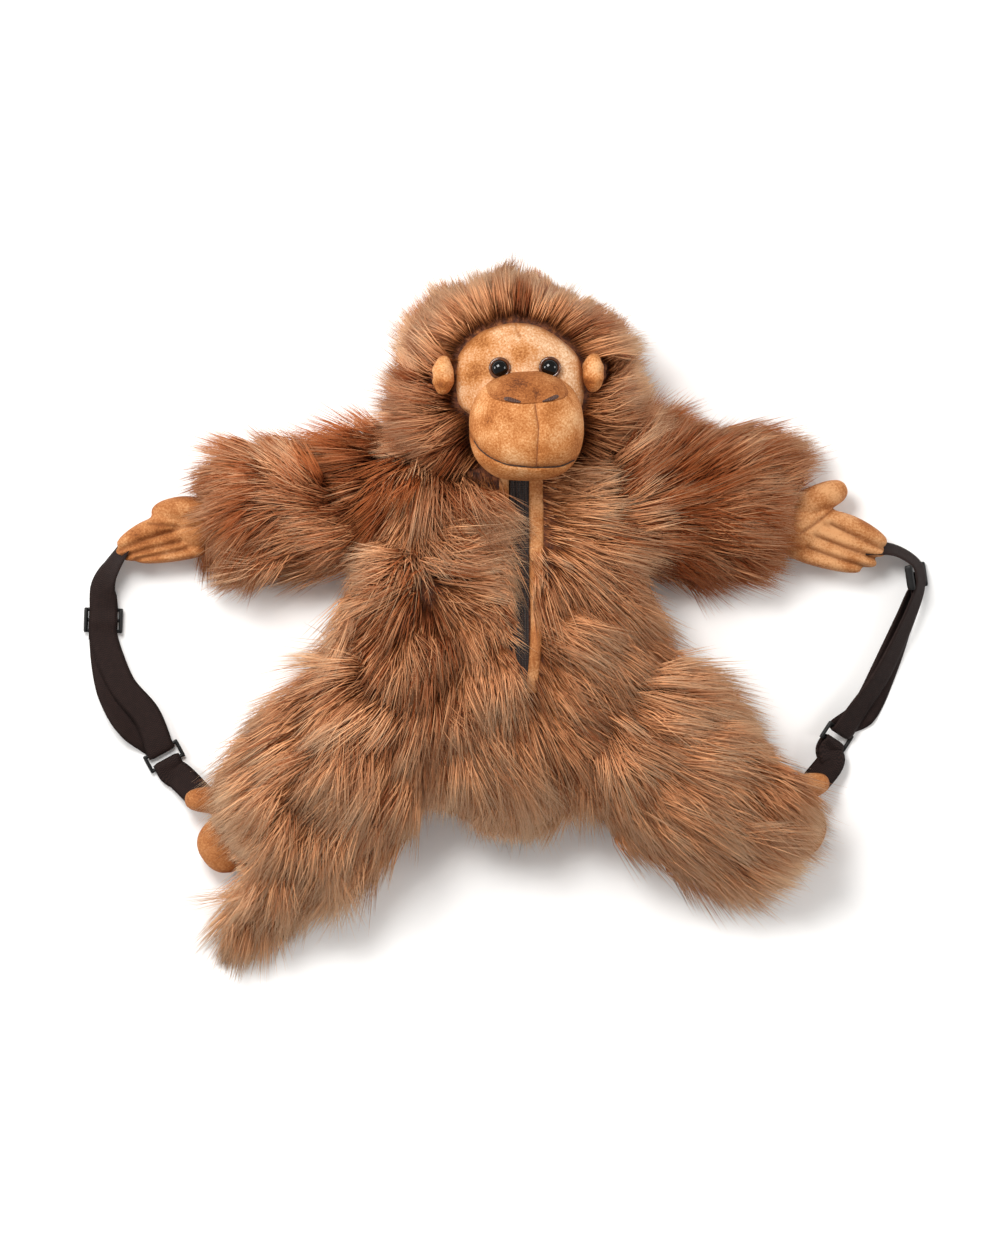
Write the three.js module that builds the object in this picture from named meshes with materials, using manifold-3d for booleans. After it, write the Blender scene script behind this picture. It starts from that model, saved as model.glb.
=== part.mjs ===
// A furry monkey backpack lying on its back: millimetres, +X to the right, +Y to the crown, +Z up.
import * as THREE from "three";
import { mergeVertices } from "three/addons/utils/BufferGeometryUtils.js";
import Module from "manifold-3d";

const wasm = await Module();
wasm.setup();

// Clearances and cloth.
const GAP = 0.3;
const FUR_GAP = 0.5;
const SIMPLE = 0.12;
const WALL = 3;
const VELOUR = 2.5;
const WEBBING = 1.6;
const WEBBING_WIDTH = 20;

// Main sizes.
const NECK_Y = 134;
const CROTCH_Y = -128;
const TORSO_HALF_WIDTH = 104;
const TORSO_HEIGHT = 84;
const SKULL_X = 9;
const SKULL_Y = 180;
const SKULL_RADIUS = 64;
const SKULL_HEIGHT = 112;
const MUZZLE_X = 13.5;
const MUZZLE_Y = 148.5;
const MUZZLE_HALF_WIDTH = 40;
const MUZZLE_TOP = SKULL_HEIGHT + 30;
const MUZZLE_SEAM_X = 20;
const ARM_HALF_WIDTH = 43;
const ARM_HEIGHT = 56;
const LEG_HALF_WIDTH = 58;
const LEG_HEIGHT = 66;
const TAIL_HALF_WIDTH = 20;
const TAIL_HEIGHT = 18;
const EYE_RADIUS = 5.7;
const EYE_RIM_RADIUS = 7.8;
const ZIP_X = 8.4;
const ZIP_WIDTH = 13.4;
const ZIP_TOP_Y = 128;
const ZIP_END_Y = -34;
const SLOT_WIDTH = 8;
const RING_BAR = 1.5;
const RING_INSIDE = WEBBING_WIDTH + 1.6;
const RING_LENGTH = 10.5;
const SLIDER_LENGTH = 15;

const FUR = new THREE.MeshStandardMaterial({ color: 0x9a6344, roughness: 0.95 });
const TAN = new THREE.MeshStandardMaterial({ color: 0xcb9156, roughness: 0.9 });
const NOSE_BROWN = new THREE.MeshStandardMaterial({ color: 0xa0622e, roughness: 0.9 });
const DARK_WEB = new THREE.MeshStandardMaterial({ color: 0x3a2826, roughness: 0.85 });
const BLACK = new THREE.MeshStandardMaterial({ color: 0x131213, roughness: 0.3 });
const BROWN_PLASTIC = new THREE.MeshStandardMaterial({ color: 0x6b3d1d, roughness: 0.35 });
const THREAD = new THREE.MeshStandardMaterial({ color: 0x32190f, roughness: 0.9 });

const v3 = (x, y, z) => new THREE.Vector3(x, y, z);

// Moves every vertex of a geometry by a function.
function reshape(geometry, map) {
  const place = geometry.getAttribute("position");
  const at = v3(0, 0, 0);
  for (let i = 0; i < place.count; i += 1) {
    at.fromBufferAttribute(place, i);
    const to = map(at);
    place.setXYZ(i, to.x, to.y, to.z);
  }
  return geometry;
}

// A closed solid with its faces outward, ready for cuts and joins.
function solid(geometry) {
  const plain = geometry.clone();
  plain.deleteAttribute("normal");
  plain.deleteAttribute("uv");
  const merged = mergeVertices(plain, 1e-3);
  const points = merged.getAttribute("position").array;
  const corner = merged.index.array;
  const kept = [];
  let volume = 0;
  for (let i = 0; i < corner.length; i += 3) {
    const [a, b, c] = [corner[i], corner[i + 1], corner[i + 2]];
    if (a === b || b === c || c === a) continue;
    kept.push(a, b, c);
    const p = v3().fromArray(points, 3 * a);
    const q = v3().fromArray(points, 3 * b);
    const r = v3().fromArray(points, 3 * c);
    volume += p.dot(q.cross(r));
  }
  if (volume < 0) kept.reverse();
  const mesh = new wasm.Mesh({
    numProp: 3,
    vertProperties: points,
    triVerts: new Uint32Array(kept),
  });
  return new wasm.Manifold(mesh);
}

const joined = (solids) => solids.reduce((sum, next) => sum.add(next));

// A block between two corners.
function block(low, high) {
  const size = high.clone().sub(low);
  const middle = high.clone().add(low).multiplyScalar(0.5);
  const box = new THREE.BoxGeometry(size.x, size.y, size.z);
  return solid(box.translate(middle.x, middle.y, middle.z));
}

const FAR = 600;
const aboveFloor = block(v3(-FAR, -FAR, 0), v3(FAR, FAR, FAR));

// A prism over an outline drawn from above, given as rows of [x, y].
function prism(outline, low = 0, high = 260) {
  const shape = new THREE.Shape(outline.map(([x, y]) => new THREE.Vector2(x, y)));
  const prismShape = new THREE.ExtrudeGeometry(shape, { depth: high - low, bevelEnabled: false });
  return solid(prismShape.translate(0, 0, low));
}

// One column of a table as a smooth curve over its "at" column.
function column(rows, name) {
  const at = rows.map((row) => row.at);
  const values = rows.map((row) => row[name]);
  const curve = new THREE.CubicInterpolant(at, values, 1, new Float32Array(1));
  return (share) => curve.evaluate(share)[0];
}

// A stuffed form round a path. Its half widths to the side and upward come from a table.
function stuffed({ path, up, rows, end = 2.3, around = 20, along = 12 }) {
  const curve = new THREE.CatmullRomCurve3(path);
  const side = column(rows, "side");
  const high = column(rows, "high");
  // The place at a share of the length, at a turn round the path, some height above the form.
  function place(share, turn, above) {
    const s = Math.min(Math.max(share, 0), 1);
    const run = 2 * s - 1;
    const rim = Math.pow(Math.max(0, 1 - Math.pow(Math.abs(run), end)), 1 / end);
    const forward = curve.getTangentAt(s);
    const across = forward.clone().cross(up).normalize();
    const upward = across.clone().cross(forward).normalize();
    const lean = Math.sign(run) * Math.sqrt(1 - rim * rim);
    return curve
      .getPointAt(s)
      .addScaledVector(across, Math.cos(turn) * rim * (side(s) + above))
      .addScaledVector(upward, Math.sin(turn) * rim * (high(s) + above))
      .addScaledVector(forward, lean * above);
  }
  function grown(above, coarse = 1) {
    const ball = new THREE.SphereGeometry(1, around * coarse, along * coarse);
    const map = (v) => place((1 - v.y) / 2, Math.atan2(v.z, v.x), above);
    return solid(reshape(ball, map));
  }
  return { place, grown };
}

// One lock of fur: a flat pointed wisp, rooted inside a form, that leaves it at a low angle.
function lock(form, { share, turn, length, width, lift, thick, swing = 0 }, grow) {
  const root = form.place(share, turn, 0);
  const out = form.place(share, turn, 5).sub(root).normalize();
  const ahead = form.place(share + 0.01, turn, 0).sub(form.place(share - 0.01, turn, 0));
  ahead.addScaledVector(out, -ahead.dot(out)).normalize();
  const across = ahead.clone().cross(out);
  ahead.addScaledVector(across, swing).normalize();
  across.crossVectors(ahead, out).normalize();
  const reach = length + 8 * grow;
  const cone = new THREE.ConeGeometry(1, 1, 3, 2);
  const map = (v) => {
    const s = v.y + 0.5;
    const full = 1 + 0.5 * Math.sin(Math.PI * s);
    const run = reach * s - grow;
    return root
      .clone()
      .addScaledVector(ahead, run)
      .addScaledVector(across, v.x * full * (width / 2 + 3 * grow))
      .addScaledVector(out, v.z * full * (thick / 2 + 3 * grow))
      .addScaledVector(out, ((lift + thick / 2) * run) / length - thick / 2 - 1);
  };
  return solid(reshape(cone, map));
}

const DEGREE = Math.PI / 180;

// Rows of locks round a form. Each row of the table has its share along the form,
// the number of locks, the turns it runs between in degrees, and the size of its locks.
function fur(form, rows, grow) {
  const locks = [];
  rows.forEach((row, r) => {
    for (let i = 0; i < row.count; i += 1) {
      const step = (row.to - row.from) / Math.max(row.count - 1, 1);
      const stray = Math.sin(7.3 * i + 4.1 * r);
      const turn = (row.from + step * (i + 0.12 * stray)) * DEGREE;
      const length = row.length * (1 + 0.14 * stray);
      const spread = row.spread ?? 0;
      const swing = -spread * Math.cos(turn) + 0.12 * stray;
      const one = { ...row, turn, length, swing };
      locks.push(lock(form, one, grow));
    }
  });
  return locks;
}

// A route for webbing: rows of places on it, with the bank of its face at each in degrees.
function webRoute(rows) {
  const curve = new THREE.CatmullRomCurve3(rows.map((row) => v3(row.x, row.y, row.z)));
  const last = rows.length - 1;
  const bank = column(rows.map((row, i) => ({ at: i / last, bank: row.bank })), "bank");
  return (t) => {
    const ahead = curve.getTangent(t);
    const across = v3(0, 0, 1).cross(ahead).normalize().applyAxisAngle(ahead, bank(t) * DEGREE);
    const face = ahead.clone().cross(across).normalize();
    return { at: curve.getPoint(t), ahead, across, face };
  };
}

// Webbing along a route, through rows of {t: place on the route, u: ahead of it, w: above it}.
function webbing(route, rows, steps, grow) {
  const spots = rows.map(({ t, u = 0, w }) => {
    const frame = route(t);
    return frame.at.addScaledVector(frame.ahead, u).addScaledVector(frame.face, w);
  });
  const curve = new THREE.CatmullRomCurve3(spots);
  const place = column(rows.map((row, i) => ({ at: i / (rows.length - 1), t: row.t })), "t");
  const [width, thick] = [WEBBING_WIDTH + 2 * grow, WEBBING + 2 * grow];
  const strip = new THREE.BoxGeometry(width, thick, 1, 1, 1, steps);
  const map = (v) => {
    const s = v.z + 0.5;
    const { across } = route(Math.min(Math.max(place(s), 0), 1));
    const face = curve.getTangent(s).cross(across).normalize();
    return curve.getPoint(s).addScaledVector(across, v.x).addScaledVector(face, v.y);
  };
  return solid(reshape(strip, map));
}

// The torso: a flat-backed bag from the neck to the crotch.
const torsoForm = stuffed({
  path: [
    v3(-2, NECK_Y + 14, 30),
    v3(-2, NECK_Y - 60, 37),
    v3(-3, 20, 38),
    v3(-3, CROTCH_Y + 50, 35),
    v3(-3, CROTCH_Y, 26),
  ],
  up: v3(0, 0, 1),
  end: 2.6,
  around: 20,
  along: 11,
  rows: [
    { at: 0, side: TORSO_HALF_WIDTH * 0.86, high: TORSO_HEIGHT * 0.42 },
    { at: 0.14, side: TORSO_HALF_WIDTH * 0.96, high: TORSO_HEIGHT * 0.47 },
    { at: 0.34, side: TORSO_HALF_WIDTH * 0.98, high: TORSO_HEIGHT * 0.54 },
    { at: 0.6, side: TORSO_HALF_WIDTH, high: TORSO_HEIGHT * 0.57 },
    { at: 0.82, side: TORSO_HALF_WIDTH * 0.97, high: TORSO_HEIGHT * 0.5 },
    { at: 1, side: TORSO_HALF_WIDTH * 0.82, high: TORSO_HEIGHT * 0.36 },
  ],
});
const torsoFur = [
  { share: 0.26, count: 2, from: 36, to: 62, length: 52, width: 30, thick: 10, lift: 7, spread: 0.1 },
  { share: 0.26, count: 2, from: 118, to: 144, length: 52, width: 30, thick: 10, lift: 7, spread: 0.1 },
  { share: 0.42, count: 3, from: 4, to: 60, length: 58, width: 33, thick: 10, lift: 12, spread: 0.2 },
  { share: 0.42, count: 3, from: 120, to: 176, length: 58, width: 33, thick: 10, lift: 12, spread: 0.2 },
  { share: 0.59, count: 4, from: 4, to: 68, length: 58, width: 33, thick: 10, lift: 12, spread: 0.2 },
  { share: 0.59, count: 4, from: 112, to: 176, length: 58, width: 33, thick: 10, lift: 12, spread: 0.2 },
  { share: 0.76, count: 5, from: 44, to: 136, length: 58, width: 36, thick: 10, lift: 8, spread: 0.1 },
  { share: 0.9, count: 6, from: 14, to: 166, length: 46, width: 34, thick: 10, lift: 12, spread: 0.1 },
];

// The skull, and the mane that stands out round the face.
const skullForm = stuffed({
  path: [v3(SKULL_X, SKULL_Y, SKULL_HEIGHT), v3(SKULL_X, SKULL_Y, -6)],
  up: v3(0, 1, 0),
  end: 2.2,
  around: 20,
  along: 9,
  rows: [
    { at: 0, side: SKULL_RADIUS * 0.98, high: SKULL_RADIUS * 0.93 },
    { at: 0.4, side: SKULL_RADIUS * 1.08, high: SKULL_RADIUS },
    { at: 0.75, side: SKULL_RADIUS * 1.12, high: SKULL_RADIUS * 1.03 },
    { at: 1, side: SKULL_RADIUS, high: SKULL_RADIUS * 0.9 },
  ],
});
const maneFur = [
  { share: 0.26, count: 13, from: -44, to: 224, length: 50, width: 29, thick: 11, lift: 18 },
  { share: 0.42, count: 13, from: -34, to: 214, length: 44, width: 31, thick: 12, lift: 25 },
  { share: 0.6, count: 10, from: -24, to: 204, length: 34, width: 34, thick: 12, lift: 26 },
];

// The muzzle, a stuffed dome on the face with its chin over the chest.
const muzzleForm = stuffed({
  path: [v3(MUZZLE_X, MUZZLE_Y, MUZZLE_TOP), v3(MUZZLE_X, MUZZLE_Y, SKULL_HEIGHT - 38)],
  up: v3(0, 1, 0),
  end: 2.3,
  around: 20,
  along: 8,
  rows: [
    { at: 0, side: MUZZLE_HALF_WIDTH * 0.92, high: MUZZLE_HALF_WIDTH * 0.9 },
    { at: 0.5, side: MUZZLE_HALF_WIDTH, high: MUZZLE_HALF_WIDTH * 0.985 },
    { at: 1, side: MUZZLE_HALF_WIDTH * 0.95, high: MUZZLE_HALF_WIDTH * 0.9 },
  ],
});

// An arm or leg: its path, widths and fur come from its sizes and its own three path points.
function limbForm(path, width, height, root) {
  return stuffed({
    path,
    up: v3(0, 0, 1),
    end: 2.8,
    around: 12,
    along: 8,
    rows: [
      { at: 0, side: width * root, high: height * 0.56 },
      { at: 0.5, side: width, high: height * 0.56 },
      { at: 1, side: width * 0.96, high: height * 0.5 },
    ],
  });
}
function limbFur(size, count) {
  const common = { width: size * 0.76, thick: 10, spread: 0.25 };
  return [
    { ...common, share: 0.3, count: count - 1, from: 10, to: 170, length: size, lift: 10 },
    { ...common, share: 0.55, count, from: 0, to: 180, length: size * 0.95, lift: 11 },
    { ...common, share: 0.8, count, from: 0, to: 180, length: size * 0.75, lift: 8 },
  ];
}
const armForms = {
  left: limbForm([v3(-52, 100, 30), v3(-138, 93, 28), v3(-214, 84, 26)], ARM_HALF_WIDTH, ARM_HEIGHT, 1.12),
  right: limbForm(
    [v3(52, 100, 30), v3(134, 93, 28), v3(206, 78, 26)],
    ARM_HALF_WIDTH * 1.08,
    ARM_HEIGHT,
    1.08,
  ),
};
const legForms = {
  left: limbForm([v3(-52, -36, 34), v3(-124, -96, 33), v3(-192, -164, 28)], LEG_HALF_WIDTH, LEG_HEIGHT, 1),
  right: limbForm(
    [v3(50, -44, 34), v3(126, -96, 33), v3(198, -149, 28)],
    LEG_HALF_WIDTH * 0.95,
    LEG_HEIGHT,
    1,
  ),
};

// The tail lies flat under the left leg and shows past it.
const tailForm = stuffed({
  path: [v3(-62, -84, 8), v3(-112, -126, 8), v3(-158, -176, 8), v3(-203, -214, 8)],
  up: v3(0, 0, 1),
  end: 2.6,
  around: 10,
  along: 6,
  rows: [
    { at: 0, side: TAIL_HALF_WIDTH, high: TAIL_HEIGHT * 0.55 },
    { at: 1, side: TAIL_HALF_WIDTH * 1.15, high: TAIL_HEIGHT * 0.55 },
  ],
});
const tailFur = [
  { share: 0.84, count: 6, from: 0, to: 180, length: 38, width: 22, thick: 8, lift: 2, spread: 0.4 },
];

// A hand: a flat stuffed palm, four fingers side by side and a thumb, each from base to tip.
const fingerRows = {
  left: [
    { base: [-227.5, 82.6], tip: [-273, 66], radius: 7, taper: 0.6 },
    { base: [-225, 74], tip: [-275, 61], radius: 4.9, taper: 0.75 },
    { base: [-222, 67], tip: [-270.5, 56], radius: 4.3, taper: 0.75 },
    { base: [-213, 62.3], tip: [-260, 54.6], radius: 4.2, taper: 0.75 },
    { base: [-211, 90], tip: [-249.5, 88], radius: 9.6, taper: 0.95 },
  ],
  right: [
    { base: [215.6, 88], tip: [265.3, 66], radius: 7, taper: 0.65 },
    { base: [210.7, 76], tip: [264, 58.8], radius: 6, taper: 0.75 },
    { base: [205, 68], tip: [255, 50.4], radius: 5.2, taper: 0.75 },
    { base: [195, 63.7], tip: [242, 47.6], radius: 4.8, taper: 0.75 },
    { base: [196.7, 89.6], tip: [238, 105.7], radius: 10, taper: 0.95 },
  ],
};
const palmRows = {
  left: { base: [-188, 83], tip: [-241, 75], side: 15 },
  right: { base: [178, 84], tip: [226, 75], side: 19 },
};
const HAND_Z = 21;
const PALM_HEIGHT = 12;
function lobe({ base, tip, side, high, taper }, around, along) {
  return stuffed({
    path: [v3(...base, HAND_Z), v3(...tip, HAND_Z - 1)],
    up: v3(0, 0, 1),
    end: 2.4,
    around,
    along,
    rows: [
      { at: 0, side, high },
      { at: 1, side: side * taper, high: high * 0.92 },
    ],
  });
}
function hand(name, grow) {
  const palm = { ...palmRows[name], high: PALM_HEIGHT, taper: 0.95 };
  const parts = [lobe(palm, 10, 5).grown(grow)];
  for (const { radius, ...row } of fingerRows[name]) {
    const high = Math.min(radius * 1.5, PALM_HEIGHT * 0.85);
    parts.push(lobe({ ...row, side: radius, high }, 8, 4).grown(grow));
  }
  return joined(parts);
}

// A foot: a flat oval pad with a toe beside it, mostly under the fur of the leg.
const footRows = {
  left: {
    sole: [[-168, -122], [-213, -154]],
    toe: [[-186, -112], [-226, -112]],
  },
  right: {
    sole: [[166, -116], [222, -140]],
    toe: [[186, -108], [226, -99]],
  },
};
const FOOT_SIDE = 21;
const FOOT_HIGH = 12;
const FOOT_Z = 19;
function foot(name, grow) {
  const pad = (ends, side, high) =>
    stuffed({
      path: ends.map(([x, y]) => v3(x, y, FOOT_Z)),
      up: v3(0, 0, 1),
      end: 2.4,
      around: 10,
      along: 6,
      rows: [
        { at: 0, side, high },
        { at: 1, side, high },
      ],
    }).grown(grow);
  const { sole, toe } = footRows[name];
  return pad(sole, FOOT_SIDE, FOOT_HIGH).add(pad(toe, 9, 9));
}

// Furry nodes as whole solids, grown by a clearance so that a neighbour can be cut by them.
const neckSide = (grow) => block(v3(-FAR, -FAR, -FAR), v3(FAR, NECK_Y + grow, FAR));
const zipChannel = (grow) =>
  block(v3(ZIP_X - 15 - grow, ZIP_END_Y - 4, 40), v3(ZIP_X + 19 + grow, ZIP_TOP_Y + 30, 200));
function torsoOuter(grow) {
  const locks = joined(fur(torsoForm, torsoFur, grow)).subtract(zipChannel(0));
  return torsoForm.grown(grow).add(locks).intersect(neckSide(grow));
}
function furry(form, rows, grow) {
  return form.grown(grow).add(joined(fur(form, rows, grow)));
}

const nodes = new Map();
const add = (name, shape, material) => nodes.set(name, { shape, material });

// Face pieces.
const faceOutline = [
  [-35.2, 190], [-33.5, 199], [-20, 213.5], [-3, 220], [7, 221], [22, 218.5], [38, 209],
  [49.7, 197], [53.6, 176], [51, 160], [40, 150], [-10, 150], [-31.8, 162], [-35.2, 172],
];
const headGrown = (grow) => skullForm.grown(grow);
const facePanel = (low, high) =>
  headGrown(high).subtract(headGrown(low)).intersect(prism(faceOutline, SKULL_HEIGHT * 0.5));
const muzzleGrown = (grow) => muzzleForm.grown(grow);
const face = facePanel(GAP, GAP + VELOUR).subtract(muzzleGrown(GAP));

// The mouth seam splits the muzzle from the lower lip.
const mouthRows = [
  [-30, 150], [-23.4, 139.3], [-17.5, 131.6], [-11.5, 127.4], [-1.4, 122.8], [14, 120.9],
  [26.6, 121.1], [39.2, 123.2], [47.9, 128.8], [56, 139],
];
const underMouth = (shift) =>
  prism([...mouthRows.map(([x, y]) => [x, y + shift]), [80, 60], [-60, 60]], 60);
const zipPull = (grow) =>
  block(
    v3(ZIP_X - 4 - grow, 114 - grow, 60),
    v3(ZIP_X + 4 + grow, 126 + grow, TORSO_HEIGHT + 3 + grow),
  );
const chestCut = torsoForm
  .grown(2 * GAP + VELOUR)
  .intersect(neckSide(GAP))
  .add(torsoOuter(GAP))
  .add(zipPull(GAP));
const muzzleWhole = muzzleGrown(0).subtract(headGrown(GAP)).subtract(chestCut);
const lip = muzzleWhole.intersect(underMouth(0));
const muzzleUpper = muzzleWhole.subtract(underMouth(GAP));
const beforeSeam = (x) => block(v3(-FAR, -FAR, -FAR), v3(x, FAR, FAR));
add("muzzle_left", muzzleUpper.intersect(beforeSeam(MUZZLE_SEAM_X - GAP / 2)), TAN);
add("muzzle_right", muzzleUpper.subtract(beforeSeam(MUZZLE_SEAM_X + GAP / 2)), TAN);
add("lower_lip", lip, TAN);
add("face", face, TAN);

// Nose patch and the two nostrils on it.
const noseOutline = [
  [-15.8, 178.5], [-9.8, 183.4], [0.35, 189.7], [10.5, 192.5], [22.8, 191.5], [34.3, 184],
  [41.1, 176.7], [42.7, 171.5], [39.5, 168], [26.6, 165.2], [18.2, 164], [3.5, 164.5], [-11.5, 169],
];
const nostrilOutlines = {
  left: [[-3, 168.4], [0, 169], [6, 167.6], [10.2, 165.6], [9, 164.8], [3, 165.4], [-2, 167]],
  right: [[23.8, 166.2], [29, 168.6], [35, 170.6], [36.4, 169.4], [33, 167], [28, 165.6], [24.6, 165.2]],
};
const muzzleShell = (low, high) => muzzleGrown(high).subtract(muzzleGrown(low));
const aboveFace = headGrown(2 * GAP + VELOUR);
const nose = muzzleShell(GAP, GAP + VELOUR).intersect(prism(noseOutline)).subtract(aboveFace);
add("nose", nose, NOSE_BROWN);
const nostrilLow = 2 * GAP + VELOUR;
for (const [name, outline] of Object.entries(nostrilOutlines)) {
  const nostril = muzzleShell(nostrilLow, nostrilLow + 1).intersect(
    prism(outline, SKULL_HEIGHT),
  );
  add(`nostril_${name}`, nostril, THREAD);
}

// Eyes: a bead in a ring, both seated on the face and tucked behind the nose patch.
const eyes = { left: [-5.1, 189.2], right: [29.8, 189.6] };
function turned(profile, [x, y], z) {
  const lathe = new THREE.LatheGeometry(profile.map(([r, h]) => new THREE.Vector2(r, h)), 12);
  return solid(lathe.rotateX(Math.PI / 2).translate(x, y, z));
}
const rimProfile = [
  [EYE_RADIUS + GAP, -30], [EYE_RIM_RADIUS, -30], [EYE_RIM_RADIUS, 1.2],
  [EYE_RIM_RADIUS - 0.7, 2.2], [EYE_RADIUS + GAP + 0.4, 2.2], [EYE_RADIUS + GAP, 1.4],
  [EYE_RADIUS + GAP, -30],
];
const beadProfile = [
  [0, -30], [EYE_RADIUS, -30], [EYE_RADIUS, 1.4], [EYE_RADIUS * 0.86, 3.2],
  [EYE_RADIUS * 0.55, 4.4], [0, 5],
];
const behindNose = muzzleGrown(2 * GAP + VELOUR);
for (const [name, at] of Object.entries(eyes)) {
  const z = name === "left" ? SKULL_HEIGHT + 0.8 : SKULL_HEIGHT - 0.6;
  const seat = (shape) => shape.subtract(aboveFace).subtract(behindNose);
  add(`eye_rim_${name}`, seat(turned(rimProfile, at, z)), BROWN_PLASTIC);
  add(`eye_${name}`, seat(turned(beadProfile, at, z)), BLACK);
}

// Ears, small stuffed ovals at the edge of the face.
const ears = {
  left: [SKULL_X - SKULL_RADIUS * 0.844, SKULL_Y + 4, SKULL_HEIGHT - 24],
  right: [SKULL_X + SKULL_RADIUS * 0.805, SKULL_Y + 6, SKULL_HEIGHT - 25],
};
function ear(name, grow) {
  const [x, y, z] = ears[name];
  return stuffed({
    path: [v3(x, y + 15, z - 1), v3(x, y - 13.5, z)],
    up: v3(0, 0, 1),
    end: 2,
    around: 10,
    along: 7,
    rows: [
      { at: 0, side: 7.4, high: 11 },
      { at: 1, side: 7.4, high: 11 },
    ],
  }).grown(grow);
}
for (const name of ["left", "right"]) {
  const seated = ear(name, 0).subtract(headGrown(GAP)).subtract(facePanel(-GAP, 2 * GAP + VELOUR));
  add(`ear_${name}`, seated, TAN);
}

// The head with its mane.
const earsGrown = ear("left", GAP).add(ear("right", GAP));
const mane = (grow) => joined(fur(skullForm, maneFur, grow));
const maneTrimmed = mane(0)
  .subtract(earsGrown)
  .subtract(prism(faceOutline, SKULL_HEIGHT * 0.45))
  .subtract(muzzleGrown(2 * GAP + VELOUR));
const head = headGrown(0).add(maneTrimmed).subtract(chestCut).intersect(aboveFloor);
add("head", head, FUR);

// The torso: its outer form with fur, the pocket inside it and the slot under the zip.
const pocket = torsoForm
  .grown(-WALL, 0.7)
  .intersect(block(v3(-FAR, CROTCH_Y + 2 * WALL, WALL), v3(FAR, NECK_Y - WALL, FAR)));
const slot = block(
  v3(ZIP_X - SLOT_WIDTH / 2, ZIP_END_Y + 6, TORSO_HEIGHT / 2),
  v3(ZIP_X + SLOT_WIDTH / 2, ZIP_TOP_Y - 24, TORSO_HEIGHT * 2),
);
const torso = torsoOuter(0).subtract(pocket).subtract(slot).intersect(aboveFloor);
add("torso", torso, FUR);

// Zip: ribbed tape with a raised chain, and a velour placket on each side of it.
const torsoShell = (low, high) => torsoForm.grown(high).subtract(torsoForm.grown(low));
const strip = (x0, x1, y0, y1) => block(v3(x0, y0, TORSO_HEIGHT / 2), v3(x1, y1, 200));
const tapeLeft = ZIP_X - ZIP_WIDTH / 2;
const tapeRight = ZIP_X + ZIP_WIDTH / 2;
const tapeTop = GAP + 1;
add(
  "zip_tape",
  torsoShell(GAP, tapeTop).intersect(strip(tapeLeft, tapeRight, ZIP_END_Y, ZIP_TOP_Y)),
  DARK_WEB,
);
add(
  "zip_chain",
  torsoShell(tapeTop + GAP, tapeTop + GAP + 1).intersect(
    strip(ZIP_X - 2.6, ZIP_X + 2.6, ZIP_END_Y + 4, 114 - GAP),
  ),
  DARK_WEB,
);
add(
  "zip_slider",
  zipPull(0).subtract(torsoForm.grown(tapeTop + GAP)).intersect(aboveFloor),
  BLACK,
);
const plackets = { left: [tapeLeft - 7, tapeLeft - GAP], right: [tapeRight + GAP, tapeRight + 10.5] };
for (const [name, [x0, x1]] of Object.entries(plackets)) {
  const placket = torsoShell(GAP, GAP + VELOUR).intersect(strip(x0, x1, ZIP_END_Y - 3, ZIP_TOP_Y));
  add(`placket_${name}`, placket, TAN);
}

// Tail.
const torsoCut = torsoOuter(FUR_GAP);
const tail = furry(tailForm, tailFur, 0).subtract(torsoCut).intersect(aboveFloor);
add("tail", tail, FUR);

// Arms and hands, legs and feet.
const headCut = headGrown(FUR_GAP).add(mane(FUR_GAP));
for (const name of ["left", "right"]) {
  const handHere = hand(name, 0);
  add(`hand_${name}`, handHere, TAN);
  const arm = furry(armForms[name], limbFur(46, 4), 0)
    .subtract(torsoCut)
    .subtract(headCut)
    .subtract(hand(name, GAP))
    .intersect(aboveFloor);
  add(`arm_${name}`, arm, FUR);
  add(`foot_${name}`, foot(name, 0), TAN);
  const leg = furry(legForms[name], limbFur(54, 5), 0)
    .subtract(torsoCut)
    .subtract(foot(name, GAP))
    .subtract(furry(tailForm, tailFur, FUR_GAP))
    .intersect(aboveFloor);
  add(`leg_${name}`, leg, FUR);
}

// Straps: each runs from a hand through a slider to a ring and back to the slider's middle bar.
const LOWER = WEBBING / 2;
const BAR_W = LOWER + WEBBING / 2 + RING_BAR + 0.4;
const UPPER = 2 * BAR_W - LOWER;
const strapRows = {
  left: [
    { x: -262, y: 64, z: 16, bank: 62 },
    { x: -274, y: 50, z: 11, bank: 48 },
    { x: -281, y: 32, z: 2, bank: 10 },
    { x: -283, y: 14, z: 0.1, bank: 0 },
    { x: -281, y: -8, z: 0.1, bank: 0 },
    { x: -270, y: -31, z: 0.1, bank: 0 },
    { x: -252, y: -53, z: 0.1, bank: 0 },
    { x: -241, y: -77, z: 0.1, bank: 0 },
  ],
  right: [
    { x: 250, y: 66, z: 15, bank: -56 },
    { x: 269, y: 63, z: 13, bank: -66 },
    { x: 281, y: 49, z: 12, bank: -68 },
    { x: 279, y: 27, z: 11, bank: -62 },
    { x: 268, y: -2, z: 9, bank: -55 },
    { x: 251, y: -29, z: 8, bank: -50 },
    { x: 237, y: -51, z: 7, bank: -44 },
    { x: 231, y: -61, z: 7, bank: -42 },
  ],
};
const sliderAt = { left: 3 / 7, right: 2.15 / 7 };
const tabRows = {
  left: [
    { x: -229, y: -96, z: 1.5 },
    { x: -214, y: -111, z: 8 },
  ],
  right: [
    { x: 226, y: -84, z: 7 },
    { x: 216, y: -100, z: 9 },
  ],
};
const loop = (t, side, radius) =>
  [90, 45, 0, -45, -90].map((angle) => ({
    t,
    u: side * radius * Math.cos(angle * DEGREE),
    w: BAR_W + radius * Math.sin(angle * DEGREE),
  }));
const BEND = BAR_W - LOWER;
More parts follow.
